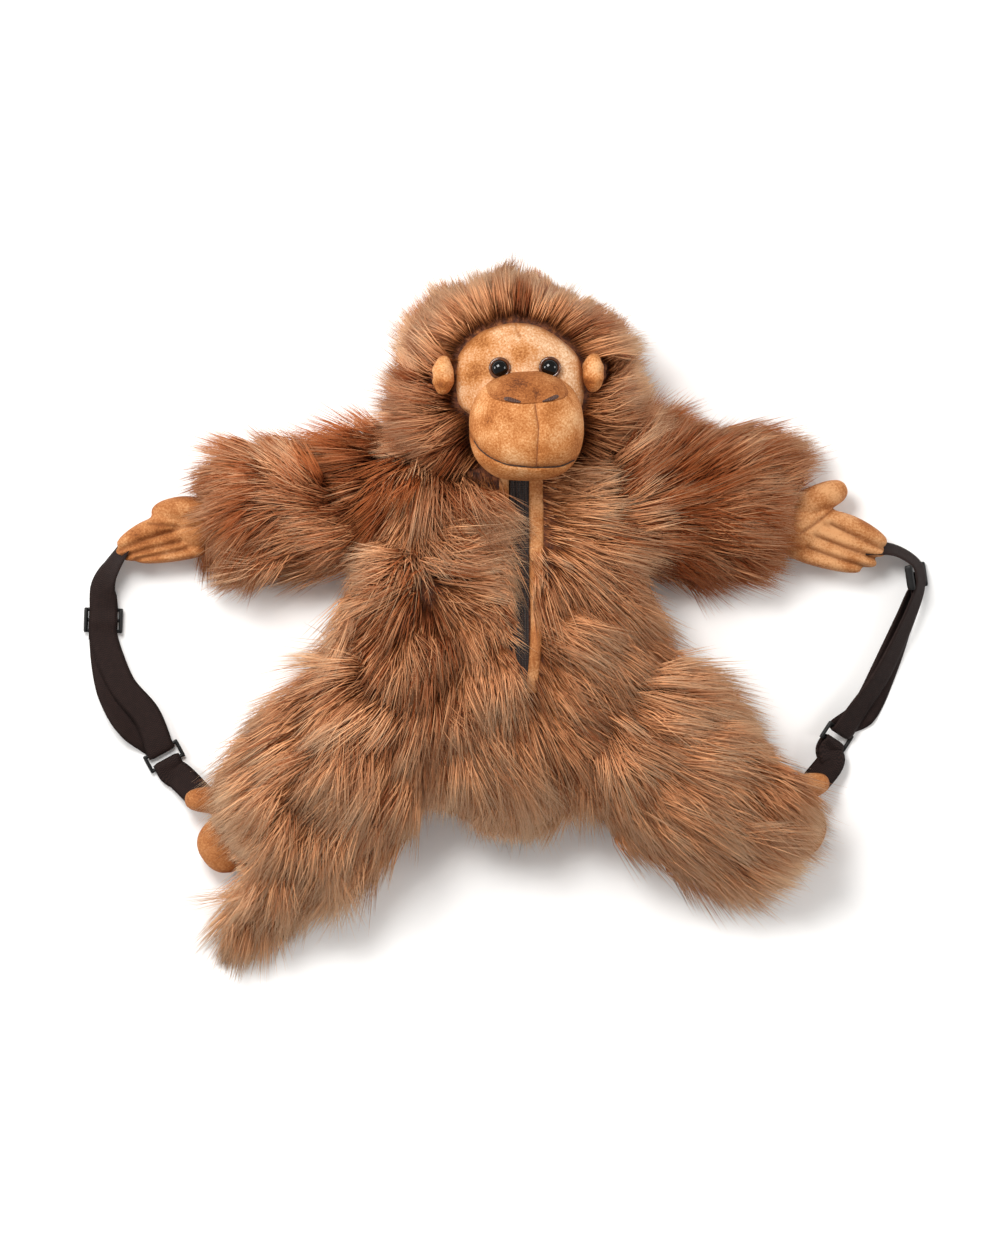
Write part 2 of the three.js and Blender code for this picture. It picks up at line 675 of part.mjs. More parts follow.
function strapStations(t0) {
  const hump = UPPER + WEBBING;
  return [
    { t: 0, w: UPPER },
    { t: t0 / 2, w: UPPER },
    { t: t0, u: -8, w: UPPER },
    { t: t0, u: 0, w: hump },
    { t: t0, u: 8, w: UPPER },
    { t: (t0 + 1) / 2, w: UPPER },
    { t: (t0 + 3) / 4, w: UPPER },
    ...loop(1, 1, BEND),
    { t: (t0 + 3) / 4, w: LOWER },
    { t: (t0 + 1) / 2, w: LOWER },
    { t: t0, u: 8, w: LOWER },
    ...loop(t0, -1, BEND - 0.3).reverse(),
    { t: t0, u: 5, w: BAR_W - 0.1 },
    { t: t0, u: 14, w: LOWER + WEBBING + GAP },
  ];
}

// A solid drawn in the webbing's own frame: u ahead, v across and w above the route.
function inFrame(frame, geometry) {
  const basis = new THREE.Matrix4().makeBasis(frame.ahead, frame.across, frame.face);
  return solid(geometry.applyMatrix4(basis.setPosition(frame.at)));
}
const bar = (u, w, radius, length) =>
  new THREE.CylinderGeometry(radius, radius, length, 8).translate(u, 0, w);
function slider(frame) {
  const half = WEBBING_WIDTH / 2 + 0.8;
  const pieces = [];
  for (const side of [-1, 1]) {
    const rail = new THREE.BoxGeometry(SLIDER_LENGTH + 2, 3, UPPER + 3.2);
    pieces.push(inFrame(frame, rail.translate(0, side * (half + 1.5), (UPPER + 3.2) / 2 + 1.6)));
    const end = bar((side * SLIDER_LENGTH) / 2, UPPER + 2.5, 1.2, 2 * half + 2);
    pieces.push(inFrame(frame, end));
  }
  pieces.push(inFrame(frame, bar(0, BAR_W, 1.2, 2 * half + 2)));
  return joined(pieces);
}
function ring(frame) {
  const half = RING_INSIDE / 2 + RING_BAR;
  const corner = 2;
  const outline = [];
  for (const [u, v, from] of [
    [RING_LENGTH - corner, half - corner, 0],
    [corner, half - corner, 90],
    [corner, corner - half, 180],
    [RING_LENGTH - corner, corner - half, 270],
  ]) {
    for (const step of [0, 45, 90]) {
      const angle = (from + step) * DEGREE;
      outline.push(v3(u + corner * Math.cos(angle), v + corner * Math.sin(angle), BAR_W));
    }
  }
  const spine = new THREE.CatmullRomCurve3(outline, true, "catmullrom", 0.4);
  return inFrame(frame, new THREE.TubeGeometry(spine, 24, RING_BAR - 0.2, 6, true));
}

function tabFor(name, frame, grow) {
  const far = frame.at.clone().addScaledVector(frame.ahead, RING_LENGTH);
  const bank = strapRows[name].at(-1).bank;
  const rows = [-7, 0, 7].map((u) => {
    const { x, y, z } = far.clone().addScaledVector(frame.ahead, u);
    return { x, y, z, bank };
  });
  tabRows[name].forEach((row, i) => rows.push({ ...row, bank: (bank * (1 - i)) / 2 }));
  return webbing(
    webRoute(rows),
    [
      { t: 1, w: BAR_W + 1.1 },
      { t: 0.75, w: BAR_W + 1.4 },
      { t: 0.5, w: BAR_W + 1.8 },
      ...loop(0.25, -1, BEND),
      { t: 0.5, w: BAR_W - 1.8 },
      { t: 0.75, w: BAR_W - 1.4 },
      { t: 1, w: BAR_W - 1.1 },
    ],
    18,
    grow,
  );
}
const tabs = {};
for (const name of ["left", "right"]) {
  const route = webRoute(strapRows[name]);
  const end = route(1);
  const t0 = sliderAt[name];
  const strap = webbing(route, strapStations(t0), 36, 0).subtract(hand(name, GAP));
  add(`strap_${name}`, strap, DARK_WEB);
  add(`slider_${name}`, slider(route(t0)), BLACK);
  add(`ring_${name}`, ring(end), BLACK);
  add(`tab_${name}`, tabFor(name, end, 0).subtract(foot(name, GAP)), DARK_WEB);
}

const group = new THREE.Group();
for (const [name, { shape, material }] of nodes) {
  const bits = shape.asOriginal().simplify(SIMPLE).decompose();
  bits.sort((a, b) => b.volume() - a.volume());
  const mesh = bits[0].getMesh();
  const geometry = new THREE.BufferGeometry();
  const points = new THREE.BufferAttribute(mesh.vertProperties, 3);
  geometry.setAttribute("position", points);
  geometry.setIndex(new THREE.BufferAttribute(mesh.triVerts, 1));
  geometry.computeVertexNormals();
  const piece = new THREE.Mesh(geometry, material);
  piece.name = name;
  group.add(piece);
}

export default group;
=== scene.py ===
import math

import bmesh
import bpy
import numpy as np
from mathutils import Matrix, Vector
from mathutils.bvhtree import BVHTree


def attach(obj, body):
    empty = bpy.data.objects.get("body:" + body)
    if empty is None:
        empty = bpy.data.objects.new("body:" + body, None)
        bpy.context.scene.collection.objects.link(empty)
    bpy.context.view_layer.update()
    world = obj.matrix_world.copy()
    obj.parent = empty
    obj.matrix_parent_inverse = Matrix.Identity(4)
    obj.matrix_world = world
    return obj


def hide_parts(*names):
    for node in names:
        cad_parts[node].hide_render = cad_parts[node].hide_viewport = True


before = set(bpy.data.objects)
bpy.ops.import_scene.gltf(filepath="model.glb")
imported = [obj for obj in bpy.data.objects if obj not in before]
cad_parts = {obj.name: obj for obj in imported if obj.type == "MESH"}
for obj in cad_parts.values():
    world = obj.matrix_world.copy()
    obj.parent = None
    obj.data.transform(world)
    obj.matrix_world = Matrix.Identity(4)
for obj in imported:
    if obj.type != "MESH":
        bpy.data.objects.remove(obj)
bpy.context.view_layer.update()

# Camera, floor and light.
# A long lens straight above the bag, whose picture shows 0.7 mm of the bag a pixel.
# A bright white floor, a big soft lamp from the upper left and a soft box at each side.
PIXEL, PICTURE_HIGH = 0.0007, 1250
VIEW_MIDDLE = (-0.0049, 0.0105)
CAMERA_HEIGHT, SCALE_HEIGHT = 14.0, 0.03
SENSOR = 36
WARM_WHITE = (1, 0.985, 0.96)
FLOOR_HALF = 6

scene = bpy.context.scene
scene.view_settings.view_transform = "Standard"
camera_data = bpy.data.cameras.new("camera")
camera_data.sensor_fit = "VERTICAL"
camera_data.sensor_height = SENSOR
camera_data.lens = SENSOR * (CAMERA_HEIGHT - SCALE_HEIGHT) / (PICTURE_HIGH * PIXEL)
camera_data.clip_start, camera_data.clip_end = 0.1, 50
camera = bpy.data.objects.new("camera", camera_data)
camera.location = (*VIEW_MIDDLE, CAMERA_HEIGHT)
scene.collection.objects.link(camera)
scene.camera = camera

world = bpy.data.worlds.new("studio")
scene.world = world
world.use_nodes = True
world.node_tree.nodes["Background"].inputs["Color"].default_value = (1, 0.98, 0.96, 1)
world.node_tree.nodes["Background"].inputs["Strength"].default_value = 0.5


def lamp(name, place, size, watts):
    """A square soft lamp that points at the bag."""
    data = bpy.data.lights.new(name, "AREA")
    data.size, data.energy, data.color = size, watts, WARM_WHITE
    thing = bpy.data.objects.new(name, data)
    thing.location = place
    thing.rotation_euler = (-Vector(place)).to_track_quat("-Z", "Y").to_euler()
    scene.collection.objects.link(thing)


lamp("key", (-0.6, 1.0, 1.85), 0.8, 38)
lamp("left_box", (-1.6, 0.35, 1.15), 0.6, 15)
lamp("right_box", (1.6, 0.35, 1.15), 0.6, 11)


class Net:
    """An output socket of a node tree. Arithmetic on it makes Math nodes."""

    def __init__(self, tree, socket=None):
        self.tree, self.socket = tree, socket

    def add(self, kind, out=0, inputs=None, **settings):
        """A new node with these settings and inputs, and one of its outputs."""
        node = self.tree.nodes.new(kind)
        for name, value in settings.items():
            setattr(node, name, value)
        for key, value in (inputs or {}).items():
            self.give(node.inputs[key], value)
        return Net(self.tree, node.outputs[out])

    def give(self, target, value):
        """Links a net to an input socket, or sets the socket to a plain value."""
        if isinstance(value, Net):
            self.tree.links.new(value.socket, target)
        else:
            target.default_value = value

    def also(self, out):
        """Another output of the same node."""
        return Net(self.tree, self.socket.node.outputs[out])

    def math(self, operation, *values):
        """A Math node, or a Vector Math node where a value is a vector."""
        if not any(isinstance(v, Net) and v.socket.type == "VECTOR" for v in values):
            return self.add("ShaderNodeMath", 0, dict(enumerate(values)), operation=operation)
        wide = [v if isinstance(v, Net) or np.ndim(v) else (v,) * 3 for v in values]
        out = 1 if operation == "LENGTH" else 0
        return self.add("ShaderNodeVectorMath", out, dict(enumerate(wide)), operation=operation)

    def __add__(self, other):
        return self.math("ADD", self, other)

    def __sub__(self, other):
        return self.math("SUBTRACT", self, other)

    def __rsub__(self, other):
        return self.math("SUBTRACT", other, self)

    def __mul__(self, other):
        return self.math("MULTIPLY", self, other)

    def __pow__(self, other):
        return self.math("POWER", self, other)

    __radd__, __rmul__ = __add__, __mul__


def colour(code):
    """A colour in linear light from its #rrggbb code."""
    parts = [int(code[i : i + 2], 16) / 255 for i in (1, 3, 5)]
    linear = [p / 12.92 if p <= 0.04045 else ((p + 0.055) / 1.055) ** 2.4 for p in parts]
    return (*linear, 1.0)


def material(name, **constants):
    """A new material, a net in it, and its shader node with some plain values set."""
    mat = bpy.data.materials.new(name)
    mat.use_nodes = True
    shader = mat.node_tree.nodes["Principled BSDF"]
    for key, value in constants.items():
        shader.inputs[key.replace("_", " ")].default_value = value
    return mat, Net(mat.node_tree), shader


def mix(net, factor, one, other):
    """Two colours mixed by a factor."""
    made = net.add("ShaderNodeMix", 2, {0: factor}, data_type="RGBA")
    net.give(made.socket.node.inputs[6], one)
    net.give(made.socket.node.inputs[7], other)
    return made


def noise(net, where, scale, detail=2.0):
    """Noise from 0 to 1 with this many lumps a metre."""
    return net.add("ShaderNodeTexNoise", 0, {"Vector": where, "Scale": scale, "Detail": detail})


floor_mesh = bpy.data.meshes.new("floor")
corners = [(x * FLOOR_HALF, y * FLOOR_HALF, 0) for x, y in ((-1, -1), (1, -1), (1, 1), (-1, 1))]
floor_mesh.from_pydata(corners, [], [(0, 1, 2, 3)])
floor_mat, net, shader = material("floor", Roughness=0.8)
grain = noise(net, net.add("ShaderNodeTexCoord", 3), 3.0)
net.give(shader.inputs["Base Color"], mix(net, grain, (0.96, 0.96, 0.96, 1), (0.94, 0.945, 0.95, 1)))
floor_mesh.materials.append(floor_mat)
floor = bpy.data.objects.new("floor", floor_mesh)
scene.collection.objects.link(floor)

# Fur.
# Long-pile cloth round the torso, head, limbs and tail, sewn into tubes and stuffed. Each
# body is its solid's form, slimmer by the depth of the pile. Geometry Nodes grow hairs on
# it: closed spindles that lie along a comb direction and gather into pointed locks.
NECK_Y, CROTCH_Y = 134, -128
TORSO_WIDE, TORSO_HIGH = 104, 84
SKULL_X, SKULL_Y, SKULL_RADIUS, SKULL_HIGH = 9, 180, 64, 112
SIDE_Z = 100
ZIP_X, ZIP_END_Y = 8.4, -34
MUZZLE_X, MUZZLE_Y, MUZZLE_BARE = 13.5, 148.5, 38
FLOOR_GAP = 0.4


class Curve:
    """A centripetal Catmull-Rom curve through points, in mm."""

    def __init__(self, points):
        p = np.array(points, float)
        self.knots = np.vstack([2 * p[0] - p[1], p, 2 * p[-1] - p[-2]])
        self.count = len(p) - 1
        self.fine = np.linspace(0, 1, 600)
        steps = np.linalg.norm(np.diff(self.at(self.fine), axis=0), axis=1)
        self.run = np.r_[0, np.cumsum(steps)]
        self.length = self.run[-1]

    def at(self, t):
        """The places at parameters from 0 to 1."""
        place = np.clip(np.atleast_1d(t), 0, 1) * self.count
        k = np.minimum(place.astype(int), self.count - 1)
        f = (place - k)[:, None]
        a, b, c, d = (self.knots[k + i] for i in range(4))
        gap = lambda p, q: np.maximum(np.linalg.norm(q - p, axis=1), 1e-6)[:, None] ** 0.5
        g0, g1, g2 = gap(a, b), gap(b, c), gap(c, d)
        start = ((b - a) / g0 - (c - a) / (g0 + g1) + (c - b) / g1) * g1
        stop = ((c - b) / g1 - (d - b) / (g1 + g2) + (d - c) / g2) * g1
        bend = 3 * (c - b) - 2 * start - stop
        return b + start * f + bend * f**2 + (2 * (b - c) + start + stop) * f**3

    def ahead(self, t):
        """The directions in which the curve runs there."""
        step = self.at(np.clip(t + 1e-3, 0, 1)) - self.at(np.clip(t - 1e-3, 0, 1))
        return step / np.linalg.norm(step, axis=1)[:, None]

    def share(self, s):
        """The parameter at a share of the curve's length."""
        return np.interp(np.asarray(s) * self.length, self.run, self.fine)


def stuffed(path, rows, up=(0, 0, 1), end=2.3, around=64, along=40, dense=1.0):
    """Rows of places on a stuffed form: rows of it hold share, half width, half height."""
    turn = np.linspace(0, np.pi, along + 1)
    share = ((1 - np.cos(turn)) / 2) ** dense
    curve = Curve(path)
    t = curve.share(share)
    middle, ahead = curve.at(t), curve.ahead(t)
    across = np.cross(ahead, up)
    across /= np.linalg.norm(across, axis=1)[:, None]
    upward = np.cross(across, ahead)
    table = np.array(rows, float)
    rim = np.maximum(0, 1 - np.abs(2 * share - 1) ** end) ** (1 / end)
    side = np.interp(share, table[:, 0], table[:, 1]) * rim
    high = np.interp(share, table[:, 0], table[:, 2]) * rim
    turn = np.linspace(0, 2 * np.pi, around, endpoint=False)[None, :, None]
    sideways = (across * side[:, None])[:, None] * np.cos(turn)
    return middle[:, None] + sideways + (upward * high[:, None])[:, None] * np.sin(turn)


def closed_mesh(name, places):
    """A closed smooth mesh from rows of places in mm. Its first and last rows are poles."""
    rows, around = places.shape[:2]
    points = [places[0].mean(axis=0)[None], places[1:-1].reshape(-1, 3), places[-1].mean(axis=0)[None]]
    points = np.vstack(points) * 0.001
    first = [1 + (r - 1) * around for r in range(rows)]
    faces = []
    for k in range(around):
        n = (k + 1) % around
        faces.append((0, first[1] + n, first[1] + k))
        for a, b in zip(first[1:-2], first[2:-1]):
            faces.append((a + k, a + n, b + n, b + k))
        faces.append((first[rows - 2] + k, first[rows - 2] + n, len(points) - 1))
    return smooth_mesh(name, points, faces)


def smooth_mesh(name, points, faces):
    """A mesh in metres with its faces turned outward."""
    mesh = bpy.data.meshes.new(name)
    mesh.from_pydata(np.asarray(points).tolist(), [], faces)
    work = bmesh.new()
    work.from_mesh(mesh)
    bmesh.ops.recalc_face_normals(work, faces=work.faces)
    if work.calc_volume(signed=True) < 0:
        bmesh.ops.reverse_faces(work, faces=work.faces)
    work.to_mesh(mesh)
    work.free()
    mesh.polygons.foreach_set("use_smooth", [True] * len(mesh.polygons))
    return mesh


def piece(name, mesh, mat, nodes, fill=None):
    """A finished piece: its object, its material, and what it stands for."""
    thing = bpy.data.objects.new("soft_" + name if fill is not None else "made_" + name, mesh)
    scene.collection.objects.link(thing)
    if not mesh.materials:
        mesh.materials.append(mat)
    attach(thing, "root")
    if nodes:
        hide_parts(*nodes)
    return thing


def points_of(mesh):
    """A mesh's points, in mm."""
    flat = np.empty(len(mesh.vertices) * 3)
    mesh.vertices.foreach_get("co", flat)
    return flat.reshape(-1, 3) * 1000


def normals_of(mesh):
    """The directions out of a mesh at its points."""
    flat = np.empty(len(mesh.vertices) * 3)
    mesh.vertex_normals.foreach_get("vector", flat)
    return flat.reshape(-1, 3)


def set_points(mesh, points):
    """Moves a mesh's points to these places, in mm."""
    mesh.vertices.foreach_set("co", (points * 0.001).ravel())
    mesh.update()


def tree_of(mesh):
    """A search tree over a mesh, in mm."""
    return BVHTree.FromPolygons(points_of(mesh).tolist(), [p.vertices for p in mesh.polygons])


def inside(points, tree):
    """Whether each point is inside a closed mesh."""
    result = np.zeros(len(points), bool)
    for i, point in enumerate(points):
        near, normal, _, _ = tree.find_nearest(Vector(point))
        result[i] = (Vector(point) - near).dot(normal) < 0
    return result


def height_on(tree, x, y):
    """How high the top of a body is at x, y, in mm. Beside the body, how high its side is."""
    hit = tree.ray_cast(Vector((x, y, 300)), Vector((0, 0, -1)))[0]
    return hit.z if hit else tree.find_nearest(Vector((x, y, SIDE_Z)))[0].z


def waves(points, size, seed, count=9):
    """Smooth noise from about -1 to 1, whose lumps are about this size in mm."""
    rng = np.random.default_rng(seed)
    total = np.zeros(len(points))
    for _ in range(count):
        way = rng.normal(size=3)
        way *= 2 * np.pi / size / np.linalg.norm(way) * rng.uniform(0.6, 1.5)
        total += np.sin(points @ way + rng.uniform(0, 2 * np.pi))
    return total / math.sqrt(count) / 1.1


def unit(vectors):
    """The same directions, each with the length 1."""
    return vectors / np.maximum(np.linalg.norm(vectors, axis=-1, keepdims=True), 1e-6)


def paint(mesh, **values):
    """Named values on a mesh's points."""
    for name, value in values.items():
        kind = "FLOAT_VECTOR" if np.ndim(value) == 2 else "FLOAT"
        layer = mesh.attributes.new(name, kind, "POINT")
        key = "vector" if kind == "FLOAT_VECTOR" else "value"
        layer.data.foreach_set(key, np.ascontiguousarray(value, np.float32).ravel())


def ramp(net, value, stops):
    """A colour ramp through stops of place and colour code."""
    result = net.add("ShaderNodeValToRGB", inputs={"Fac": value})
    band = result.socket.node.color_ramp
    while len(band.elements) < len(stops):
        band.elements.new(0.5)
    for element, (place, code) in zip(band.elements, stops):
        element.position, element.color = place, colour(code)
    return result


def bump(net, shader, height, strength, depth):
    """Relief on a shader's surface, depth in metres."""
    inputs = {"Height": height, "Strength": strength, "Distance": depth}
    net.give(shader.inputs["Normal"], net.add("ShaderNodeBump", 0, inputs))


fur_mat, net, shader = material("fur", Roughness=0.55, Specular_IOR_Level=0.12)
spot = net.add("ShaderNodeSeparateXYZ", 0, {0: net.add("ShaderNodeUVMap", uv_map="OFBake")})
# Each strand runs from a dark root to a pale tip: the dark root end is painted shade deep in the pile, and
# the pale tips are the fur's own colour.
deep = [[0, "#180601"], [0.32, "#5a240b"], [0.62, "#974b21"], [1, "#c47440"]]
pale = [[0, "#5c2d15"], [0.24, "#c47c4a"], [0.58, "#efb484"], [1, "#ffdfba"]]
strand = mix(net, spot, ramp(net, spot.also(1), deep), ramp(net, spot.also(1), pale))
net.give(shader.inputs["Base Color"], strand)

backing_mat, net, shader = material("fur_backing", Roughness=0.9)
where = net.add("ShaderNodeTexCoord", 3)
streak = noise(net, where, 260.0, 3.0)
shade = ramp(net, streak, [[0.3, "#2a1208"], [0.5, "#5e3018"], [0.72, "#8c5228"]])
net.give(shader.inputs["Base Color"], shade)
bump(net, shader, streak, 0.6, 0.002)


def fur_tree():
    """Geometry Nodes that grow clumped hairs on a combed body."""
    tree = bpy.data.node_groups.new("fur", "GeometryNodeTree")
    tree.interface.new_socket("Geometry", in_out="INPUT", socket_type="NodeSocketGeometry")
    order = {"Geometry": 0}
    for name, kind, value in (
        ("Hairs", "Float", 300000.0),
        ("Clumps", "Float", 20000.0),
        ("Length", "Float", 0.045),
        ("Width", "Float", 0.0004),
        ("Pull", "Float", 0.78),
        ("Mess", "Float", 0.74),
        ("Seed", "Int", 1),
    ):
        socket = tree.interface.new_socket(name, in_out="INPUT", socket_type="NodeSocket" + kind)
        socket.default_value = value
        order[name] = len(order)
    tree.interface.new_socket("Geometry", in_out="OUTPUT", socket_type="NodeSocketGeometry")
    net = Net(tree)
    given = net.add("NodeGroupInput")
    position = net.add("GeometryNodeInputPosition")
    take = lambda name: given.also(order[name])

    def named(name, kind="FLOAT"):
        return net.add("GeometryNodeInputNamedAttribute", 0, {0: name}, data_type=kind)

    def vector(name):
        return named(name, "FLOAT_VECTOR")

    def keep(geometry, name, value, kind="FLOAT", domain="POINT"):
        inputs = {"Geometry": geometry, "Name": name, "Value": value}
        settings = {"data_type": kind, "domain": domain}
        return net.add("GeometryNodeStoreNamedAttribute", 0, inputs, **settings)

    def chance(low, high, shift, **inputs):
        inputs = {2: low, 3: high, "Seed": take("Seed") + shift, **inputs}
        return net.add("FunctionNodeRandomValue", 1, inputs)

    def roots(density, shift, scatter, short, long):
        """Points on the body with a way, a bend and a root, all in metres."""
        cover = density * named("cover")
        inputs = {"Mesh": take("Geometry"), "Density": cover, "Seed": take("Seed") + shift}
        spread = net.add("GeometryNodeDistributePointsOnFaces", 0, inputs)
        normal, comb = spread.also(1), vector("comb")
        large = net.add("ShaderNodeTexNoise", 1, {"Vector": position, "Scale": 34.0})
        small = net.add("ShaderNodeTexNoise", 1, {"Vector": position, "Scale": 110.0})
        inputs = {0: (-1, -1, -1), 1: (1, 1, 1), "Seed": take("Seed") + shift}
        stray = net.add("FunctionNodeRandomValue", 0, inputs, data_type="FLOAT_VECTOR")
        mess = (large - 0.5) * 3.4 + (small - 0.5) * 2.4
        way = comb + normal * named("lift") + mess * take("Mess") * named("mess")
        way = net.math("NORMALIZE", way + stray * scatter)
        reach = take("Length") * named("pile") * chance(short, long, shift)
        bend = comb * 0.32 - normal * 0.25 + (0, 0, -0.08)
        points = keep(spread, "root", position, "FLOAT_VECTOR")
        points = keep(points, "way", way * reach, "FLOAT_VECTOR")
        return keep(points, "bend", (bend + stray * 0.12) * reach, "FLOAT_VECTOR")

    hairs = roots(take("Hairs"), 0, 0.24, 0.45, 1.35)
    guides = roots(take("Clumps"), 11, 0.38, 0.6, 1.3)
    nearest = net.add("GeometryNodeSampleNearest", 0, {0: guides, 1: position})
    for name in ("root", "way", "bend"):
        inputs = {0: guides, 1: vector(name), "Index": nearest}
        sample = net.add("GeometryNodeSampleIndex", 0, inputs, data_type="FLOAT_VECTOR")
        hairs = keep(hairs, "guide_" + name, sample, "FLOAT_VECTOR")
    hairs = keep(hairs, "pull", take("Pull") * chance(0.35, 1.0, 3))
    # Tone wanders in lumps and from lock to lock: partly the fur's own random tone, partly painted shade
    # between the locks.
    patchy = net.add("ShaderNodeTexNoise", 0, {"Vector": position, "Scale": 26.0})
    tufty = net.add("ShaderNodeTexNoise", 0, {"Vector": position, "Scale": 95.0})
    own = chance(-0.26, 0.26, 4) + chance(-0.32, 0.32, 5, ID=nearest)
    hairs = keep(hairs, "tone_of", named("tone") + (patchy - 0.5) * 1.0 + (tufty - 0.5) * 1.6 + own)

    ball = net.add("GeometryNodeMeshUVSphere", 0, {"Segments": 3, "Rings": 2, "Radius": 1.0})
    xyz = net.add("ShaderNodeSeparateXYZ", 0, {0: position})
    ball = keep(ball, "v", (xyz.also(2) * 0.5 + 0.5) ** 1.2)
    ball = keep(ball, "side", xyz + xyz.also(1) * 0.3)
    flat = net.add("ShaderNodeCombineXYZ", 0, {0: xyz, 1: xyz.also(1), 2: named("v")})
    ball = net.add("GeometryNodeSetPosition", 0, {"Geometry": ball, "Position": flat})
    way, width = vector("way"), take("Width") * chance(0.6, 1.3, 6)
    turned = net.add("FunctionNodeAlignRotationToVector", 0, {"Vector": way}, axis="Z")
    size = {0: width, 1: width, 2: net.math("LENGTH", way)}
    size = net.add("ShaderNodeCombineXYZ", 0, size)
    inputs = {"Points": hairs, "Instance": ball, "Rotation": turned, "Scale": size}
    grown = net.add("GeometryNodeInstanceOnPoints", 0, inputs)
    grown = net.add("GeometryNodeRealizeInstances", 0, {0: grown})
    v = named("v")
    mine = vector("root") + vector("way") * v + vector("bend") * v * v
    lead = vector("guide_root") + vector("guide_way") * v + vector("guide_bend") * v * v
    moved = position + vector("bend") * v * v + (lead - mine) * v * named("pull")
    parts = net.add("ShaderNodeSeparateXYZ", 0, {0: moved})
    low = net.math("MAXIMUM", parts.also(2), FLOOR_GAP * 0.001)
    clear = net.add("ShaderNodeCombineXYZ", 0, {0: parts, 1: parts.also(1), 2: low})
    grown = net.add("GeometryNodeSetPosition", 0, {"Geometry": grown, "Position": clear})
    tone = net.add("ShaderNodeClamp", 0, {0: named("tone_of"), 1: 0.03, 2: 0.97})
    place = net.add("ShaderNodeCombineXYZ", 0, {0: tone + named("side") * 0.02, 1: v})
    grown = keep(grown, "OFBake", place, "FLOAT2", "CORNER")
    guide = ["guide_root", "guide_way", "guide_bend", "pull", "tone_of", "side", "v"]
    for name in ["root", "way", "bend", *guide, *COMBING]:
        grown = net.add("GeometryNodeRemoveAttribute", 0, {"Geometry": grown, "Name": name})
    grown = net.add("GeometryNodeSetShadeSmooth", 0, {"Geometry": grown})
    grown = net.add("GeometryNodeSetMaterial", 0, {"Geometry": grown, "Material": fur_mat})
    result = tree.nodes.new("NodeGroupOutput")
    tree.links.new(grown.socket, result.inputs[0])
    return tree


COMBING = ("comb", "cover", "pile", "lift", "mess", "tone")
FUR_TREE = fur_tree()
FUR_INPUTS = {
    item.name: item.identifier
    for item in FUR_TREE.interface.items_tree
    if item.in_out == "INPUT"
}


def grow_fur(name, mesh, **sizes):
    """The hairs of one combed body, as a mesh."""
    body = bpy.data.objects.new(name + "_roots", mesh)
    scene.collection.objects.link(body)
    modifier = body.modifiers.new("fur", "NODES")
    modifier.node_group = FUR_TREE
    for key, value in sizes.items():
        modifier[FUR_INPUTS[key]] = value
    ready = body.evaluated_get(bpy.context.evaluated_depsgraph_get())
    made = bpy.data.meshes.new_from_object(ready)
    made.name = name
    bpy.data.objects.remove(body)
    return made


def settle(mesh, dents, seed):
    """Soft dents in a stuffed body, which lies on the floor and not below it."""
    points = points_of(mesh) + normals_of(mesh) * (waves(points_of(mesh), 46, seed) * dents)[:, None]
    points[:, 2] = np.maximum(points[:, 2], FLOOR_GAP)
    set_points(mesh, points)


def shape_rows(table, wide, high):
    """Rows for a stuffed form, from shares of its half width and half height."""
    return [[share, wide * side, high * tall] for share, side, tall in table]


torso_path = [(-4, NECK_Y + 14, 30), (-4, NECK_Y - 60, 37), (-4, 20, 38)]
torso_path += [(-4, CROTCH_Y + 50, 35), (-4, CROTCH_Y + 6, 26)]
torso_table = [[0, 0.8, 0.42], [0.14, 0.9, 0.47], [0.34, 0.9, 0.53]]
torso_table += [[0.6, 0.92, 0.56], [0.82, 0.9, 0.49], [1, 0.78, 0.34]]
skull_table = [[0, 0.9, 0.88], [0.4, 0.97, 0.95], [0.75, 0.99, 0.96], [1, 0.9, 0.85]]
tail_path = [(-62, -84, 8), (-112, -126, 8), (-156, -170, 9), (-188, -203, 9)]
FORMS = {
    "torso": dict(path=torso_path, rows=shape_rows(torso_table, TORSO_WIDE, TORSO_HIGH), end=2.6),
    "head": dict(
        path=[(SKULL_X, SKULL_Y, SKULL_HIGH), (SKULL_X, SKULL_Y, -6)],
        rows=shape_rows(skull_table, SKULL_RADIUS, SKULL_RADIUS),
        up=(0, 1, 0),
        end=2.2,
    ),
    "tail": dict(path=tail_path, rows=[[0, 15, 9], [0.7, 16, 9], [1, 17, 9]], end=2.6),
    "arm_left": dict(
        path=[(-52, 98, 30), (-138, 94, 28), (-207, 85, 25)],
        rows=[[0, 42, 37], [0.5, 35, 30], [0.8, 35, 27], [1, 38, 24]],
        end=2.8,
    ),
    "arm_right": dict(
        path=[(52, 100, 30), (134, 100, 28), (198, 90, 25)],
        rows=[[0, 44, 37], [0.5, 41, 30], [1, 39, 25]],
        end=2.8,
    ),
    "leg_left": dict(
        path=[(-52, -36, 34), (-124, -95, 33), (-184, -150, 27)],
        rows=[[0, 56, 43], [0.5, 54, 37], [1, 50, 31]],
        end=2.8,
    ),
    "leg_right": dict(
        path=[(50, -44, 34), (126, -95, 33), (204, -142, 27)],
        rows=[[0, 54, 43], [0.5, 52, 37], [0.8, 43, 33], [1, 36, 30]],
        end=2.8,
    ),
}
bodies, trees = {}, {}
for seed, (name, form) in enumerate(FORMS.items()):
    bodies[name] = closed_mesh(name, stuffed(**form))
    settle(bodies[name], 1.5, seed)
    trees[name] = tree_of(bodies[name])

